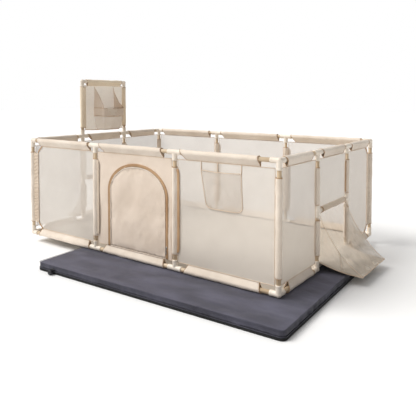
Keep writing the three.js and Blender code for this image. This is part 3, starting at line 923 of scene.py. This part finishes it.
DOOR_LOW, DOOR_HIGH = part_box("door_flap")
DOOR_X = (DOOR_LOW.x + DOOR_HIGH.x) / 2
DOOR_HALF = (DOOR_HIGH.x - DOOR_LOW.x) / 2
DOOR_FOOT, DOOR_HEAD = DOOR_LOW.z, DOOR_HIGH.z
DOOR_SPRING = DOOR_HEAD - 0.150  # where the straight legs end and the round top begins
DOOR_STRAIGHT, DOOR_RISE = DOOR_SPRING - DOOR_FOOT, DOOR_HEAD - DOOR_SPRING
FOLD_LIFT = 0.0013  # the flap's cloth starts this far above its fold, so that it swings clear
TRIM_OUT = 0.0022  # how far the door's trims stand out from the cloth's plane


def arch_path(margin, foot=DOOR_FOOT, spacing=0.010):
    """The door's outline as (along, height) pairs, up the left leg, over the top and down."""
    half = DOOR_HALF + margin
    rise = DOOR_RISE + margin
    path = []
    leg_steps = int((DOOR_SPRING - foot) / spacing)
    for i in range(leg_steps):
        path.append((DOOR_X - half, foot + (DOOR_SPRING - foot) * i / leg_steps))
    round_steps = int(math.pi * (half + rise) / 2 / spacing)
    for i in range(round_steps + 1):
        angle = math.pi - math.pi * i / round_steps
        path.append((DOOR_X + half * math.cos(angle), DOOR_SPRING + rise * math.sin(angle)))
    for i in range(1, leg_steps + 1):
        path.append((DOOR_X + half, DOOR_SPRING + (foot - DOOR_SPRING) * i / leg_steps))
    return path


def arch_line(margin, out=TRIM_OUT, **options):
    return [on_side("front", along, height, out) for along, height in arch_path(margin, **options)]


def door_pucker(along, height, depth_from_edge):
    """Small gathers where the cloth is sewn to the zip, which fade into the panel."""
    place = Vector((along, 0, height))
    wave = ripple(place, 0.012, 0.0050, 3.0) + ripple(place, 0.030, 0.0045, 5.0)
    slanting = Vector((along, 0, height - along))
    broad = ripple(place, 0.12, 0.006, 8.0) + ripple(slanting, 0.05, 0.0014, 2.0)
    return wave * math.exp(-depth_from_edge / 0.022) + broad * min(1.0, depth_from_edge / 0.04)


def door_wall():
    """The opaque bay round the door, lofted from the zip out to the bay's edges."""
    low = -BAY_LONG / 2 + EDGE_GAP
    high = BAY_LONG / 2 - EDGE_GAP
    corners = [(low, PANEL_FOOT), (high, PANEL_FOOT), (high, PANEL_TOP), (low, PANEL_TOP)]
    inner = arch_path(0.002)
    bottom_steps = 40
    last, first = inner[-1], inner[0]
    for i in range(1, bottom_steps):
        inner.append((last[0] + (first[0] - last[0]) * i / bottom_steps, DOOR_FOOT - 0.002))
    centre = (DOOR_X, (DOOR_FOOT + DOOR_HEAD) / 2)
    edges = ((low, high), (PANEL_FOOT, PANEL_TOP))
    outer = []
    for point in inner:
        way = (point[0] - centre[0], point[1] - centre[1])
        reach = min((edges[k][way[k] > 0] - centre[k]) / way[k] for k in (0, 1) if abs(way[k]) > 1e-9)
        outer.append((centre[0] + way[0] * reach, centre[1] + way[1] * reach))
    for corner in (corners[0], corners[3], corners[2], corners[1]):
        nearest = min(range(len(outer)), key=lambda i: math.dist(outer[i], corner))
        outer[nearest] = corner

    def point(u, v):
        i = round(u * len(inner)) % len(inner)
        along = inner[i][0] + (outer[i][0] - inner[i][0]) * v
        height = inner[i][1] + (outer[i][1] - inner[i][1]) * v
        gap = math.dist(inner[i], outer[i]) * v
        hold = min(1.0, 6 * (1 - v))
        return on_side("front", along, height, door_pucker(along, height, gap) * 0.7 * hold)

    wall = thicken(grid("door_bay_cloth", len(inner), 18, point, PANEL, closed=True))
    hem = hem_round("door_bay_cloth", "front", corners)
    width, height = high - low, PANEL_TOP - PANEL_FOOT
    opening = 2 * DOOR_HALF * DOOR_STRAIGHT + math.pi / 2 * DOOR_HALF * DOOR_RISE
    settle_cloth(wall, "panel_fabric", (width, height), "stretched", trims=[hem],
                 area=width * height - opening, rests_on=["top_sleeve_front_2"])


def door_flap():
    """The flap: cloth inside the zip, a little full, with gathers along its sewn edge."""
    whole = DOOR_STRAIGHT + DOOR_RISE * math.pi / 2

    def point(u, v):
        distance = v * whole
        if distance <= DOOR_STRAIGHT:
            height, half = DOOR_FOOT + max(distance, FOLD_LIFT), DOOR_HALF
        else:
            angle = min(math.pi / 2, (distance - DOOR_STRAIGHT) / DOOR_RISE)
            height = DOOR_SPRING + DOOR_RISE * math.sin(angle)
            half = DOOR_HALF * math.cos(angle)
        along = DOOR_X + (2 * u - 1) * half
        edge = min(half * (1 - abs(2 * u - 1)), DOOR_HEAD - height, (height - DOOR_FOOT) * 2)
        puff = 0.004 * min(1.0, edge / 0.05)
        return on_side("front", along, height, puff + door_pucker(along, height, max(edge, 0)) - 0.001)

    flap = thicken(edit(grid("door_flap_cloth", 56, 64, point, PANEL), merge_close))
    edge_line = arch_line(-0.0034, foot=DOOR_FOOT + 0.0045)
    cord = piping("door_flap_piping", [edge_line], 0.0026, OXFORD)
    area = 2 * DOOR_HALF * DOOR_STRAIGHT + math.pi / 2 * DOOR_HALF * DOOR_RISE
    settle_cloth(flap, "panel_fabric", (2 * DOOR_HALF, DOOR_STRAIGHT + DOOR_RISE), "stretched",
                 trims=[cord], body="door_flap", stands_for=["door_flap"], area=area)


def zip_cover():
    """The brown welt outside the zip, the tape and teeth beside it, and the fold under the flap."""
    outward = SIDES["front"][1]
    welt = piping("door_zip_welt", [arch_line(0.0150, foot=PANEL_FOOT)], 0.0030, BAND)
    zip_tape = tape("door_zip_tape", arch_line(0.0078, foot=PANEL_FOOT), 0.0125, outward, BAND)
    fold = [on_side("front", DOOR_X + DOOR_HALF * (i / 12 - 1), DOOR_FOOT - 0.0036, 0.0018)
            for i in range(25)]
    line = arch_line(0.0028, 0.0036, spacing=0.0024)
    teeth = []
    for point, following in list(zip(line, line[1:]))[::2]:
        reach = side_axes((following - point).normalized())[0].normalized() * 0.0016
        teeth.append([point - reach, point + reach])
    for piece in (welt, zip_tape, tape("door_hinge_fold", fold, 0.0042, outward, PANEL),
                  piping("door_zip_teeth", teeth, 0.0007, BAND, sides=5)):
        settle(piece)


def flatten(piece, y, share):
    """Flattens a piece along Y towards a plane."""
    move = Matrix.Translation((0, y, 0))
    piece.data.transform(move @ Matrix.Diagonal((1, share, 1, 1)) @ move.inverted())


def zip_slider():
    """The slider's body and its pull, for the CAD slider."""
    low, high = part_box("zip_slider")
    x, face, head = (low.x + high.x) / 2, low.y, high.z
    body_y, tab_y = face + 0.0045, face + 0.0006
    body = turned("zip_slider_body", Vector((x, body_y, head - 0.015)), UP,
                  [(0, 0.0028), (0.002, 0.0042), (0.010, 0.0045), (0.0135, 0.0036), (0.015, 0.002)], METAL)
    flatten(body, body_y, 0.6)
    ring_z = head - 0.007 - 0.004
    angles = [2 * math.pi * i / 24 for i in range(24)]
    ring = [Vector((x + 0.0030 * math.sin(a), face + 0.0002, ring_z + 0.0040 * math.cos(a))) for a in angles]
    link = piping("zip_slider_link", [ring], 0.0008, METAL, closed=True)
    tab = turned("zip_slider_tab", Vector((x, tab_y, low.z)), UP,
                 [(0, 0.0018), (0.001, 0.0030), (0.020, 0.0030), (0.026, 0.0018), (0.027, 0.001)], METAL)
    flatten(tab, tab_y, 0.32)
    whole = joined("zip_slider_and_pull", [body, link, tab])
    settle(whole, body="zip_slider", stands_for=["zip_slider"])


door_wall()
door_flap()
zip_cover()
zip_slider()

# --- Pocket ---------------------------------------------------------------------------------------

POCKET_CORNER = 0.030
POCKET_INSET = 0.034  # how much further right the pouch's left edge is at its foot
POCKET_MIDDLE = 0.103  # the middle tape, from the pouch's left edge
POCKET_SEAM = 0.145  # how far the middle tape runs down the pouch


def add_pocket():
    low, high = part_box("pocket")
    left, right, foot, head = low.x, high.x, low.z, high.z
    plane = -HALF_SHORT

    def edges(height):
        """The pouch's left and right edge at a height."""
        share = (head - height) / (head - foot)
        rise = max(0.0, POCKET_CORNER - (height - foot))
        round_in = POCKET_CORNER - math.sqrt(max(POCKET_CORNER**2 - rise**2, 0.0))
        return left + POCKET_INSET * share + round_in, right - 0.004 + 0.008 * share - round_in

    def point(u, v):
        height = foot + (head - foot) * v
        start, end = edges(height)
        along = start + (end - start) * u
        full = math.sin(math.pi * u) ** 0.6 * (0.35 + 0.65 * math.sin(math.pi * min(1, v * 0.8 + 0.1)))
        sag = -0.004 * math.sin(math.pi * u) * v**6
        out = 0.002 + 0.008 * full + ripple(Vector((along, 0, height)), 0.045, 0.005, 2.0) * full
        return Vector((along, plane - max(out, 0.0012), height + sag))

    pouch = edit(grid("pocket_pouch", 44, 36, point, POUCH), merge_close)
    rim = [point(u, 1.0) for u in shares(40)]
    sides = [point(0.0, 1 - v) for v in shares(40)]
    sides += [point(u, 0.0) for u in shares(30)[1:-1]]
    sides += [point(1.0, v) for v in shares(40)]
    edge = piping("pocket_binding", [rim, sides], 0.0021, HEM)
    middle = left + POCKET_MIDDLE
    hang = TOP_Z - 0.034
    tapes = [[Vector((along, plane - 0.0022, head + (hang - head) * i / 8)) for i in range(9)]
             for along in (left + 0.001, middle, right - 0.003)]
    tapes.append([Vector((middle, plane + 0.002, head - POCKET_SEAM + POCKET_SEAM * i / 12))
                  for i in range(13)])
    straps = piping("pocket_tapes", tapes, 0.0026, HEM)
    settle_cloth(pouch, "net", (right - left - POCKET_INSET / 2, head - foot), "hung",
                 trims=[edge, straps], stands_for=["pocket"], rests_on=["mesh_panel_front_3"])


add_pocket()

# --- Backboard and basket -------------------------------------------------------------------------

BASKET_LOW, BASKET_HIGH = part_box("hoop_band")
BOARD_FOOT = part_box("backboard_cloth")[0].z
BAND_DEPTH = 0.060
BASKET_HALF = (BASKET_HIGH.y - BASKET_LOW.y) / 2
BASKET_DEPTH = BASKET_HIGH.x + HALF_LONG
BASKET_CORNER = 0.020
BASKET_STEPS = 10
BASKET_START = 0.002 - HALF_LONG  # where the basket's cloth leaves the board
FOLD_SIZE = (0.100, 0.052)  # the band's folded corner


def add_backboard_cloth():
    half = BAY_SHORT / 2 - 0.020
    head = BOARD_Z - 0.026

    def point(u, v):
        y, z = (2 * u - 1) * half, BOARD_FOOT + (head - BOARD_FOOT) * v
        hold = min(1.0, 6 * min(u, 1 - u, 1 - v) + 0.15)
        wave = ripple(Vector((0, y, z)), 0.10, 0.010, 1.0)
        wave += ripple(Vector((0, y * 0.4, z)), 0.030, 0.003, 6.0)
        sag = -0.006 * math.sin(math.pi * u) * (1 - v) ** 4
        return Vector((-HALF_LONG + wave * hold, y, z + sag * hold))

    cloth = grid("backboard_panel", 60, 56, point, BOARD_PANEL)
    hem = piping("backboard_panel_hem", [[point(u, 0.0) for u in shares(50)]], 0.0022, BAND)
    settle_cloth(cloth, "panel_fabric", (2 * half, head - BOARD_FOOT), "stretched", trims=[hem],
                 stands_for=["backboard_cloth"], rests_on=["backboard_sleeve_top"])


def basket_outline():
    """The band's plan as (out, y) pairs, from the board round the front and back to the board."""
    depth, half, corner, steps = BASKET_DEPTH, BASKET_HALF, BASKET_CORNER, BASKET_STEPS
    angles = [math.pi / 2 * i / steps for i in range(steps + 1)]
    path = [(depth * i / steps * 0.7, -half) for i in range(steps)]
    for angle in angles:
        path.append((depth - corner + corner * math.sin(angle), -half + corner - corner * math.cos(angle)))
    for i in range(1, 2 * steps):
        path.append((depth, -half + corner + (2 * half - 2 * corner) * i / (2 * steps)))
    for angle in angles:
        path.append((depth - corner + corner * math.cos(angle), half - corner + corner * math.sin(angle)))
    for i in range(1, steps + 1):
        path.append(((depth - corner) * (1 - i / steps), half))
    return path


def add_basket():
    foot = BASKET_LOW.z
    top = BASKET_LOW.z + BAND_DEPTH
    half, depth = BASKET_HALF, BASKET_DEPTH
    plan = basket_outline()
    count = len(plan) - 1
    girth = 2 * depth + 2 * half

    def band_point(u, v):
        out, y = plan[round(u * count)]
        z = foot + (top - foot) * v
        push = ripple(Vector((out, y, z)), 0.035, 0.0035, 2.0)
        dip = -0.006 * math.sin(math.pi * u) ** 2
        return Vector((BASKET_START + out + push * min(1, out / 0.02), y, z + dip))

    band = thicken(grid("basket_band", count, 10, band_point, PANEL), 0.0016)
    edges = [[band_point(u, v) for u in shares(count)] for v in (0.0, 1.0)]
    hems = piping("basket_band_hems", edges, 0.0016, BAND)
    settle_cloth(band, "panel_fabric", (girth, top - foot), "hung", trims=[hems],
                 stands_for=["hoop_band"], rests_on=["backboard_panel"])

    rise = BASKET_HIGH.z - top
    for name, sign in ENDS:

        def gusset(u, v):
            height = top - 0.004 + rise * v
            reach = (depth - 0.008) * (1 - v) ** 1.15
            y = sign * (half - 0.006 * v - 0.016 * math.sin(math.pi * v) * u)
            push = ripple(Vector((u * reach, y, height)), 0.05, 0.006, sign + 3.0)
            return Vector((BASKET_START + u * reach, y + push * u, height))

        sheet = thicken(edit(grid(f"basket_gusset_{name}", 16, 28, gusset, PANEL), merge_close), THIN_CLOTH)
        line = [gusset(1.0, v) for v in shares(30)]
        edge = piping(f"basket_gusset_{name}_edge", [line], 0.0012, BAND)
        settle_cloth(sheet, "panel_fabric", (depth, rise), "hung", trims=[edge],
                     area=depth * rise * 0.48, rests_on=["backboard_panel"])

    net_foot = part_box("hoop_net")[0].z

    def net_point(u, v):
        out, y = plan[round(u * count)]
        narrow = 0.024 * v**2
        z = foot + 0.004 - (foot - net_foot) * v
        push = ripple(Vector((out, y, z)), 0.04, 0.006, 7.0) * v
        x = BASKET_START + max(out - narrow, 0.0) + push * min(1, out / 0.02)
        return Vector((x, y * ((half - narrow) / half), z))

    net = grid("basket_net", count, 22, net_point, POUCH)
    hem = piping("basket_net_hem", [[net_point(u, 1.0) for u in shares(count)]], 0.0015, BAND)
    settle_cloth(net, "net", (girth, foot - net_foot), "hung", trims=[hem], stands_for=["hoop_net"],
                 rests_on=["basket_band"])

    def fold_point(u, v):
        width = FOLD_SIZE[0] / 2 * (1 - 0.35 * v)
        y = -half + 0.078 + (2 * u - 1) * width
        z = top + 0.001 - FOLD_SIZE[1] * v
        out = -HALF_LONG + depth + 0.0035 + ripple(Vector((u, v, 0)), 0.4, 0.003, 1.0)
        return Vector((out, y, z - 0.012 * u * v))

    fold = thicken(grid("basket_folded_corner", 16, 12, fold_point, OXFORD), THIN_CLOTH)
    settle_cloth(fold, "panel_fabric", FOLD_SIZE, "folded", area=FOLD_SIZE[0] * FOLD_SIZE[1] * 0.8,
                 rests_on=["basket_band"])


add_backboard_cloth()
add_basket()

# --- Goals ----------------------------------------------------------------------------------------

# Inside a goal, X is outwards from the frame, Y along the side and Z up.
SAG_WAY = Vector((0.62, 0, 0.78))  # square to the slope of the net, upwards
FOLD_WAY = Vector((0.75, 0, 0.65))
GOAL_FOOT = BOTTOM_Z + 0.034
GOAL_HEAD = BAR_Z - 0.015
GROUND = MAT_TOP + 0.0035  # the lowest that a goal's cloth may lie
SILL_WIDTH = 0.068


def arc(share):
    """0 at both ends and 1 in the middle."""
    return math.sin(math.pi * share)


def loose(place, amount, size, seed):
    return ripple(place, size, amount, seed) + ripple(place * 1.7, size * 0.5, amount * 0.4, seed + 2)


def add_goal(side):
    direction, outward, _, distance = SIDES[side]
    net_low, net_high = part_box(f"goal_net_{side}")
    depth = (net_high.x - net_low.x) + 0.018
    half = BAY_SHORT / 2
    tip_near = Vector((depth - 0.004, -half + 0.046, GROUND))
    tip_far = Vector((depth - 0.004, half - 0.012, GROUND))
    top_near, top_far = (Vector((0.002, sign * (half - 0.020), GOAL_HEAD)) for sign in (-1, 1))
    foot_near, foot_far = (Vector((0.006, sign * (half - 0.016), GOAL_FOOT)) for sign in (-1, 1))

    def at(local):
        return outward * (distance + local.x) + direction * local.y + UP * local.z

    def slope(u, v):
        place = top_near.lerp(top_far, u).lerp(tip_near.lerp(tip_far, u), v)
        place = place - SAG_WAY * (arc(v) ** 0.8 * (0.030 + 0.022 * arc(u)))
        place += FOLD_WAY * (loose(Vector((u * 0.42, v * 0.16, 3)), 0.012, 0.055, 1.0) * arc(v) ** 0.5)
        place.z = max(place.z, GROUND + 0.005)
        return at(place)

    def side_wall(top, low, tip, seed):
        def point(u, v):
            upper = top.lerp(tip, u) - SAG_WAY * (0.030 * arc(u) ** 0.8)
            lower = low.lerp(tip, u) - Vector((0, 0, 0.010 * arc(u)))
            place = lower.lerp(upper, v)
            fold = loose(Vector((u * 0.25, v * 0.2, seed)), 0.010, 0.06, seed) * arc(v)
            place.y += fold * (1 - u)
            place.z = max(place.z, GROUND)
            return at(place)

        return point

    def floor_point(u, v):
        place = foot_near.lerp(foot_far, u).lerp(tip_near.lerp(tip_far, u), v)
        place.z -= 0.012 * arc(v) * (1 - v)
        crumple = loose(Vector((u * 0.4, v * 0.25, 7)), 0.016, 0.06, 4.0)
        crumple += loose(Vector((u * 0.4 + v * 0.2, v * 0.1, 3)), 0.010, 0.022, 1.0)
        inside = (arc(min(1.0, v * 0.92)) * arc(u)) ** 0.5
        place.z += (0.004 + crumple) * max(inside, 0.0)
        place.z = max(place.z, GROUND)
        return at(place)

    cloth_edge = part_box("floor_cloth")[1]
    sill_start = -(distance - cloth_edge.x)

    def sill_point(u, v):
        inner = Vector((sill_start, (2 * u - 1) * half, cloth_edge.z))
        place = inner.lerp(foot_near.lerp(foot_far, u), v)
        place.z += 0.006 * arc(v)
        return at(place)

    near_wall = side_wall(top_near, foot_near, tip_near, 2.0)
    far_wall = side_wall(top_far, foot_far, tip_far, 6.0)
    slope_piece = grid(f"goal_net_slope_{side}", 48, 40, slope, GOAL_NET)
    walls = [edit(grid(f"goal_net_{end}_{side}", 30, 26, wall, GOAL_NET), merge_close)
             for end, wall in (("front", near_wall), ("back", far_wall))]
    floor_piece = thicken(grid(f"goal_floor_{side}", 48, 30, floor_point, FLOOR_CLOTH), THIN_CLOTH)
    sill = thicken(grid(f"goal_sill_{side}", 30, 8, sill_point, FLOOR_CLOTH), THIN_CLOTH)
    steps = shares(30)
    lines = [[near_wall(s, 0.0) for s in steps], [far_wall(s, 0.0) for s in steps],
             [floor_point(s, 1.0) for s in steps]]
    binding = piping(f"goal_net_binding_{side}", lines, 0.0024, HEM)
    seams = [[slope(share, s) for s in steps] for share in (0.0, 1.0)]
    seams.append([near_wall(0.55, s) for s in steps])
    seam = piping(f"goal_net_seams_{side}", seams, 0.0013, HEM)
    height = GOAL_HEAD - GOAL_FOOT
    bar = f"goal_bar_sleeve_{side}"
    settle_cloth(sill, "floor_fabric", (2 * half, SILL_WIDTH), "stretched", rests_on=["floor_sheet"])
    settle_cloth(slope_piece, "net", (2 * half, math.hypot(depth, GOAL_HEAD - GROUND)), "hung",
                 trims=[binding, seam], stands_for=[f"goal_net_{side}"], rests_on=[bar])
    for wall in walls:
        settle_cloth(wall, "net", (depth, height), "hung", area=depth * height / 2, rests_on=[bar])
    settle_cloth(floor_piece, "floor_fabric", (2 * half, depth), "hung", rests_on=["mat_cover"])


# --- Floor cloth and mat --------------------------------------------------------------------------


def add_floor_cloth():
    low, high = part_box("floor_cloth")

    def point(u, v):
        x, y = low.x + (high.x - low.x) * u, low.y + (high.y - low.y) * v
        hold = min(1.0, 12 * min(u, 1 - u, v, 1 - v))
        place = Vector((x, y, 0))
        wave = 0.5 + 0.5 * noise.noise(place / 0.30) + 0.25 * noise.noise(Vector((x * 3, y * 9, 1)))
        crease = max(0.0, 1 - abs(noise.noise(place / 0.55 + Vector((7, 1, 0)))) / 0.03)
        return Vector((x, y, high.z - 0.002 + hold * (0.006 * max(wave, 0) + 0.003 * crease)))

    cloth = thicken(grid("floor_sheet", 150, 104, point, FLOOR_CLOTH))
    settle_cloth(cloth, "floor_fabric", (high.x - low.x, high.y - low.y), "laid",
                 stands_for=["floor_cloth"], rests_on=["mat_cover"])


MAT_TURN = math.radians(2)
MAT_SIZE = (1.524, 1.067)
MAT_CORNER = 0.028
MAT_SPACING = 0.02
BASE_HEIGHT = 0.014
RAIL_REST = 0.0027  # how far the cover stays below the mat's solid, so that the rails' sleeves clear it
MAT_VOXEL = 0.0075
SWELL_FRAMES = 12
SWELL_CAP = 0.003
COVER_CLOTH = {
    "vertex_group_mass": "held",
    "quality": 5,
    "mass": 0.3,
    "tension_stiffness": 12,
    "compression_stiffness": 12,
    "bending_stiffness": 0.4,
    "use_pressure": True,
    "uniform_pressure_force": 2.5,
}


def mat_plan(inset):
    """The mat's outline as (x, y) pairs round its own middle."""
    half_x, half_y = MAT_SIZE[0] / 2 - inset, MAT_SIZE[1] / 2 - inset
    r = MAT_CORNER - inset
    arc_steps = 8
    corners = []
    for sx, sy, begin in ((1, -1, -90), (1, 1, 0), (-1, 1, 90), (-1, -1, 180)):
        middle_x, middle_y = sx * (half_x - r), sy * (half_y - r)
        angles = [math.radians(begin + 90 * i / arc_steps) for i in range(arc_steps + 1)]
        corners.append([(middle_x + r * math.cos(a), middle_y + r * math.sin(a)) for a in angles])
    path = []
    for i, corner in enumerate(corners):
        path.extend(corner)
        start, end = corner[-1], corners[(i + 1) % 4][0]
        steps = int(math.dist(start, end) / MAT_SPACING)
        for j in range(1, steps):
            share = j / steps
            path.append((start[0] + (end[0] - start[0]) * share, start[1] + (end[1] - start[1]) * share))
    return path


def mat_middle():
    """The mat's middle on the floor, from its box without the valve's neck."""
    reach_y = MAT_SIZE[0] / 2 * math.sin(MAT_TURN) + MAT_SIZE[1] / 2 * math.cos(MAT_TURN)
    saved = MAT_CORNER * (math.sin(MAT_TURN) + math.cos(MAT_TURN) - 1)
    return Vector(((MAT_LOW.x + MAT_HIGH.x) / 2, MAT_HIGH.y - reach_y + saved, 0))


MAT_MIDDLE = mat_middle()


def turn(x, y, angle):
    c, s = math.cos(angle), math.sin(angle)
    return c * x - s * y, s * x + c * y


def on_mat(x, y, z):
    return MAT_MIDDLE + Vector((*turn(x, y, MAT_TURN), z))


def mat_shell(name, levels, material):
    """A closed pad lofted through (inset, height) levels."""
    vertices = [on_mat(x, y, z) for inset, z in levels for x, y in mat_plan(inset)]
    faces = capped(len(levels), len(vertices) // len(levels))
    return new_piece(name, vertices, faces, material)


def inflate(piece, keep_still):
    """Swells a closed cloth cover by simulation, and holds every point within the cap of its start."""
    rest = [v.co.copy() for v in piece.data.vertices]
    pins = piece.vertex_groups.new(name="held")
    pins.add([v.index for v in piece.data.vertices if keep_still(v.co)], 1.0, "REPLACE")
    cloth = piece.modifiers.new("cover", "CLOTH")
    for key, value in COVER_CLOTH.items():
        setattr(cloth.settings, key, value)
    cloth.settings.effector_weights.gravity = 0
    cloth.collision_settings.use_self_collision = False
    scene = bpy.context.scene
    for number in range(1, SWELL_FRAMES + 1):
        scene.frame_set(number)
    bake_modifiers(piece)
    for vertex, start in zip(piece.data.vertices, rest):
        move = vertex.co - start
        if move.length > SWELL_CAP:
            vertex.co = start + move.normalized() * SWELL_CAP
    scene.frame_set(1)


def band_wrinkle(x, y, z):
    """Slanting wrinkles round the mat's side, where the cover is gathered at its corners."""
    near = max(0.0, 1 - min(abs(abs(x) - MAT_SIZE[0] / 2), 0.5) / 0.5)
    strength = 0.35 + 0.65 * near
    return ripple(Vector((x + y + 0.6 * z, 0, z * 0.4)), 0.024, 0.0075, 5.0) * strength


def crumple_cover(cover, top):
    """Dents and streaks in the mat's top, and wrinkles in its sides."""
    for vertex in cover.data.vertices:
        place = vertex.co.copy()
        local = place - MAT_MIDDLE
        x, y = turn(local.x, local.y, -MAT_TURN)
        edge = min(MAT_SIZE[0] / 2 - abs(x), MAT_SIZE[1] / 2 - abs(y))
        if place.z > top - 0.010 and edge > 0.006:
            dent = ripple(place, 0.22, 0.0036, 3.0) + ripple(place, 0.07, 0.0016, 5.0)
            streak = ripple(Vector((x * 0.35, y * 1.6, 0)), 0.05, 0.0016, 9.0)
            vertex.co.z = top - 0.0042 + (dent + streak) * min(1.0, edge / 0.05)
        elif edge <= 0.006:
            outward = Vector((local.x, local.y, 0)).normalized()
            vertex.co -= outward * max(0.0022 + band_wrinkle(x, y, place.z), 0.0)
        vertex.co.z = min(vertex.co.z, top - RAIL_REST)


def add_mat():
    top, base = MAT_TOP, BASE_HEIGHT
    levels = [(0.004, base), (0.0025, base + 0.004), (0.0025, top - 0.005), (0.006, top - 0.001)]
    cover = mat_shell("mat_cover", levels, PLUSH)
    voxels(cover, "even", MAT_VOXEL)
    bake_modifiers(cover)
    cover.data.materials.clear()
    cover.data.materials.append(PLUSH)
    cover.data.materials.append(PLUSH_SIDE)
    inflate(cover, lambda co: co.z < base + 0.010)
    crumple_cover(cover, top)
    for polygon in cover.data.polygons:
        polygon.material_index = 1 if abs(polygon.normal.z) < 0.6 else 0
    settle(cover, body="mat", stands_for=["mat"])

    sole_levels = [(0.006, 0.0), (0.002, 0.001), (0.0005, 0.004), (0.0005, base), (0.005, base + 0.001)]
    settle(mat_shell("mat_base", sole_levels, NON_SLIP), body="mat")

    seams = []
    for height, radius in ((base + 0.0016, 0.0016), (top - 0.0035, 0.0012)):
        path = [on_mat(x, y, height) for x, y in mat_plan(0.0012)]
        seams.append(piping("mat_seam_run", [path], radius, PLUSH_SIDE, closed=True))
    settle(joined("mat_seams", seams), body="mat")


CAP_RADIUS = 0.015
CAP_LENGTH = 0.018


def add_valve():
    """The neck on the mat's edge, and the ribbed cap that screws on to it."""
    out = on_mat(0, -1, 0) - on_mat(0, 0, 0)
    start = box_centre("valve_cap") - out * (CAP_LENGTH / 2)
    neck = turned("mat_valve_neck", start - out * 0.010, out,
                  [(0, 0.0108), (0.0092, 0.0108), (0.0095, 0.0098)], DARK)
    flange = turned("mat_valve_flange", start - out * 0.0090, out,
                    [(0, 0.0150), (0.001, 0.0158), (0.0022, 0.0150)], DARK)
    settle(joined("mat_valve_neck_and_flange", [neck, flange]), body="mat")
    drum = turned("valve_cap_drum", start, out,
                  [(0, 0.0136), (0.0008, 0.0142), (0.0150, 0.0142), (0.0172, 0.0132), (CAP_LENGTH, 0.0105),
                   (CAP_LENGTH - 0.0012, 0.0085), (CAP_LENGTH - 0.0015, 0.002)], DARK, sides=48)
    first, second = side_axes(out)
    ribs = []
    for way in round_ways(first, second, 24):
        rib_start = start + way * (CAP_RADIUS - 0.0009) + out * 0.0022
        ribs.append([rib_start + out * step for step in (0.0, 0.004, 0.008, 0.0125)])
    grip = piping("valve_cap_ribs", ribs, 0.0008, DARK)
    bar_half = first * 0.0085
    face = start + out * (CAP_LENGTH - 0.0004)
    handle = piping("valve_cap_bar", [[face - bar_half, face, face + bar_half]], 0.0016, DARK)
    cap = joined("valve_screw_cap", [drum, grip, handle])
    settle(cap, body="valve_cap", stands_for=["valve_cap"])


add_mat()
add_valve()
add_floor_cloth()
for goal_side, _ in GOAL_SIDES:
    add_goal(goal_side)

# --- Update ---------------------------------------------------------------------------------------

bpy.context.view_layer.update()
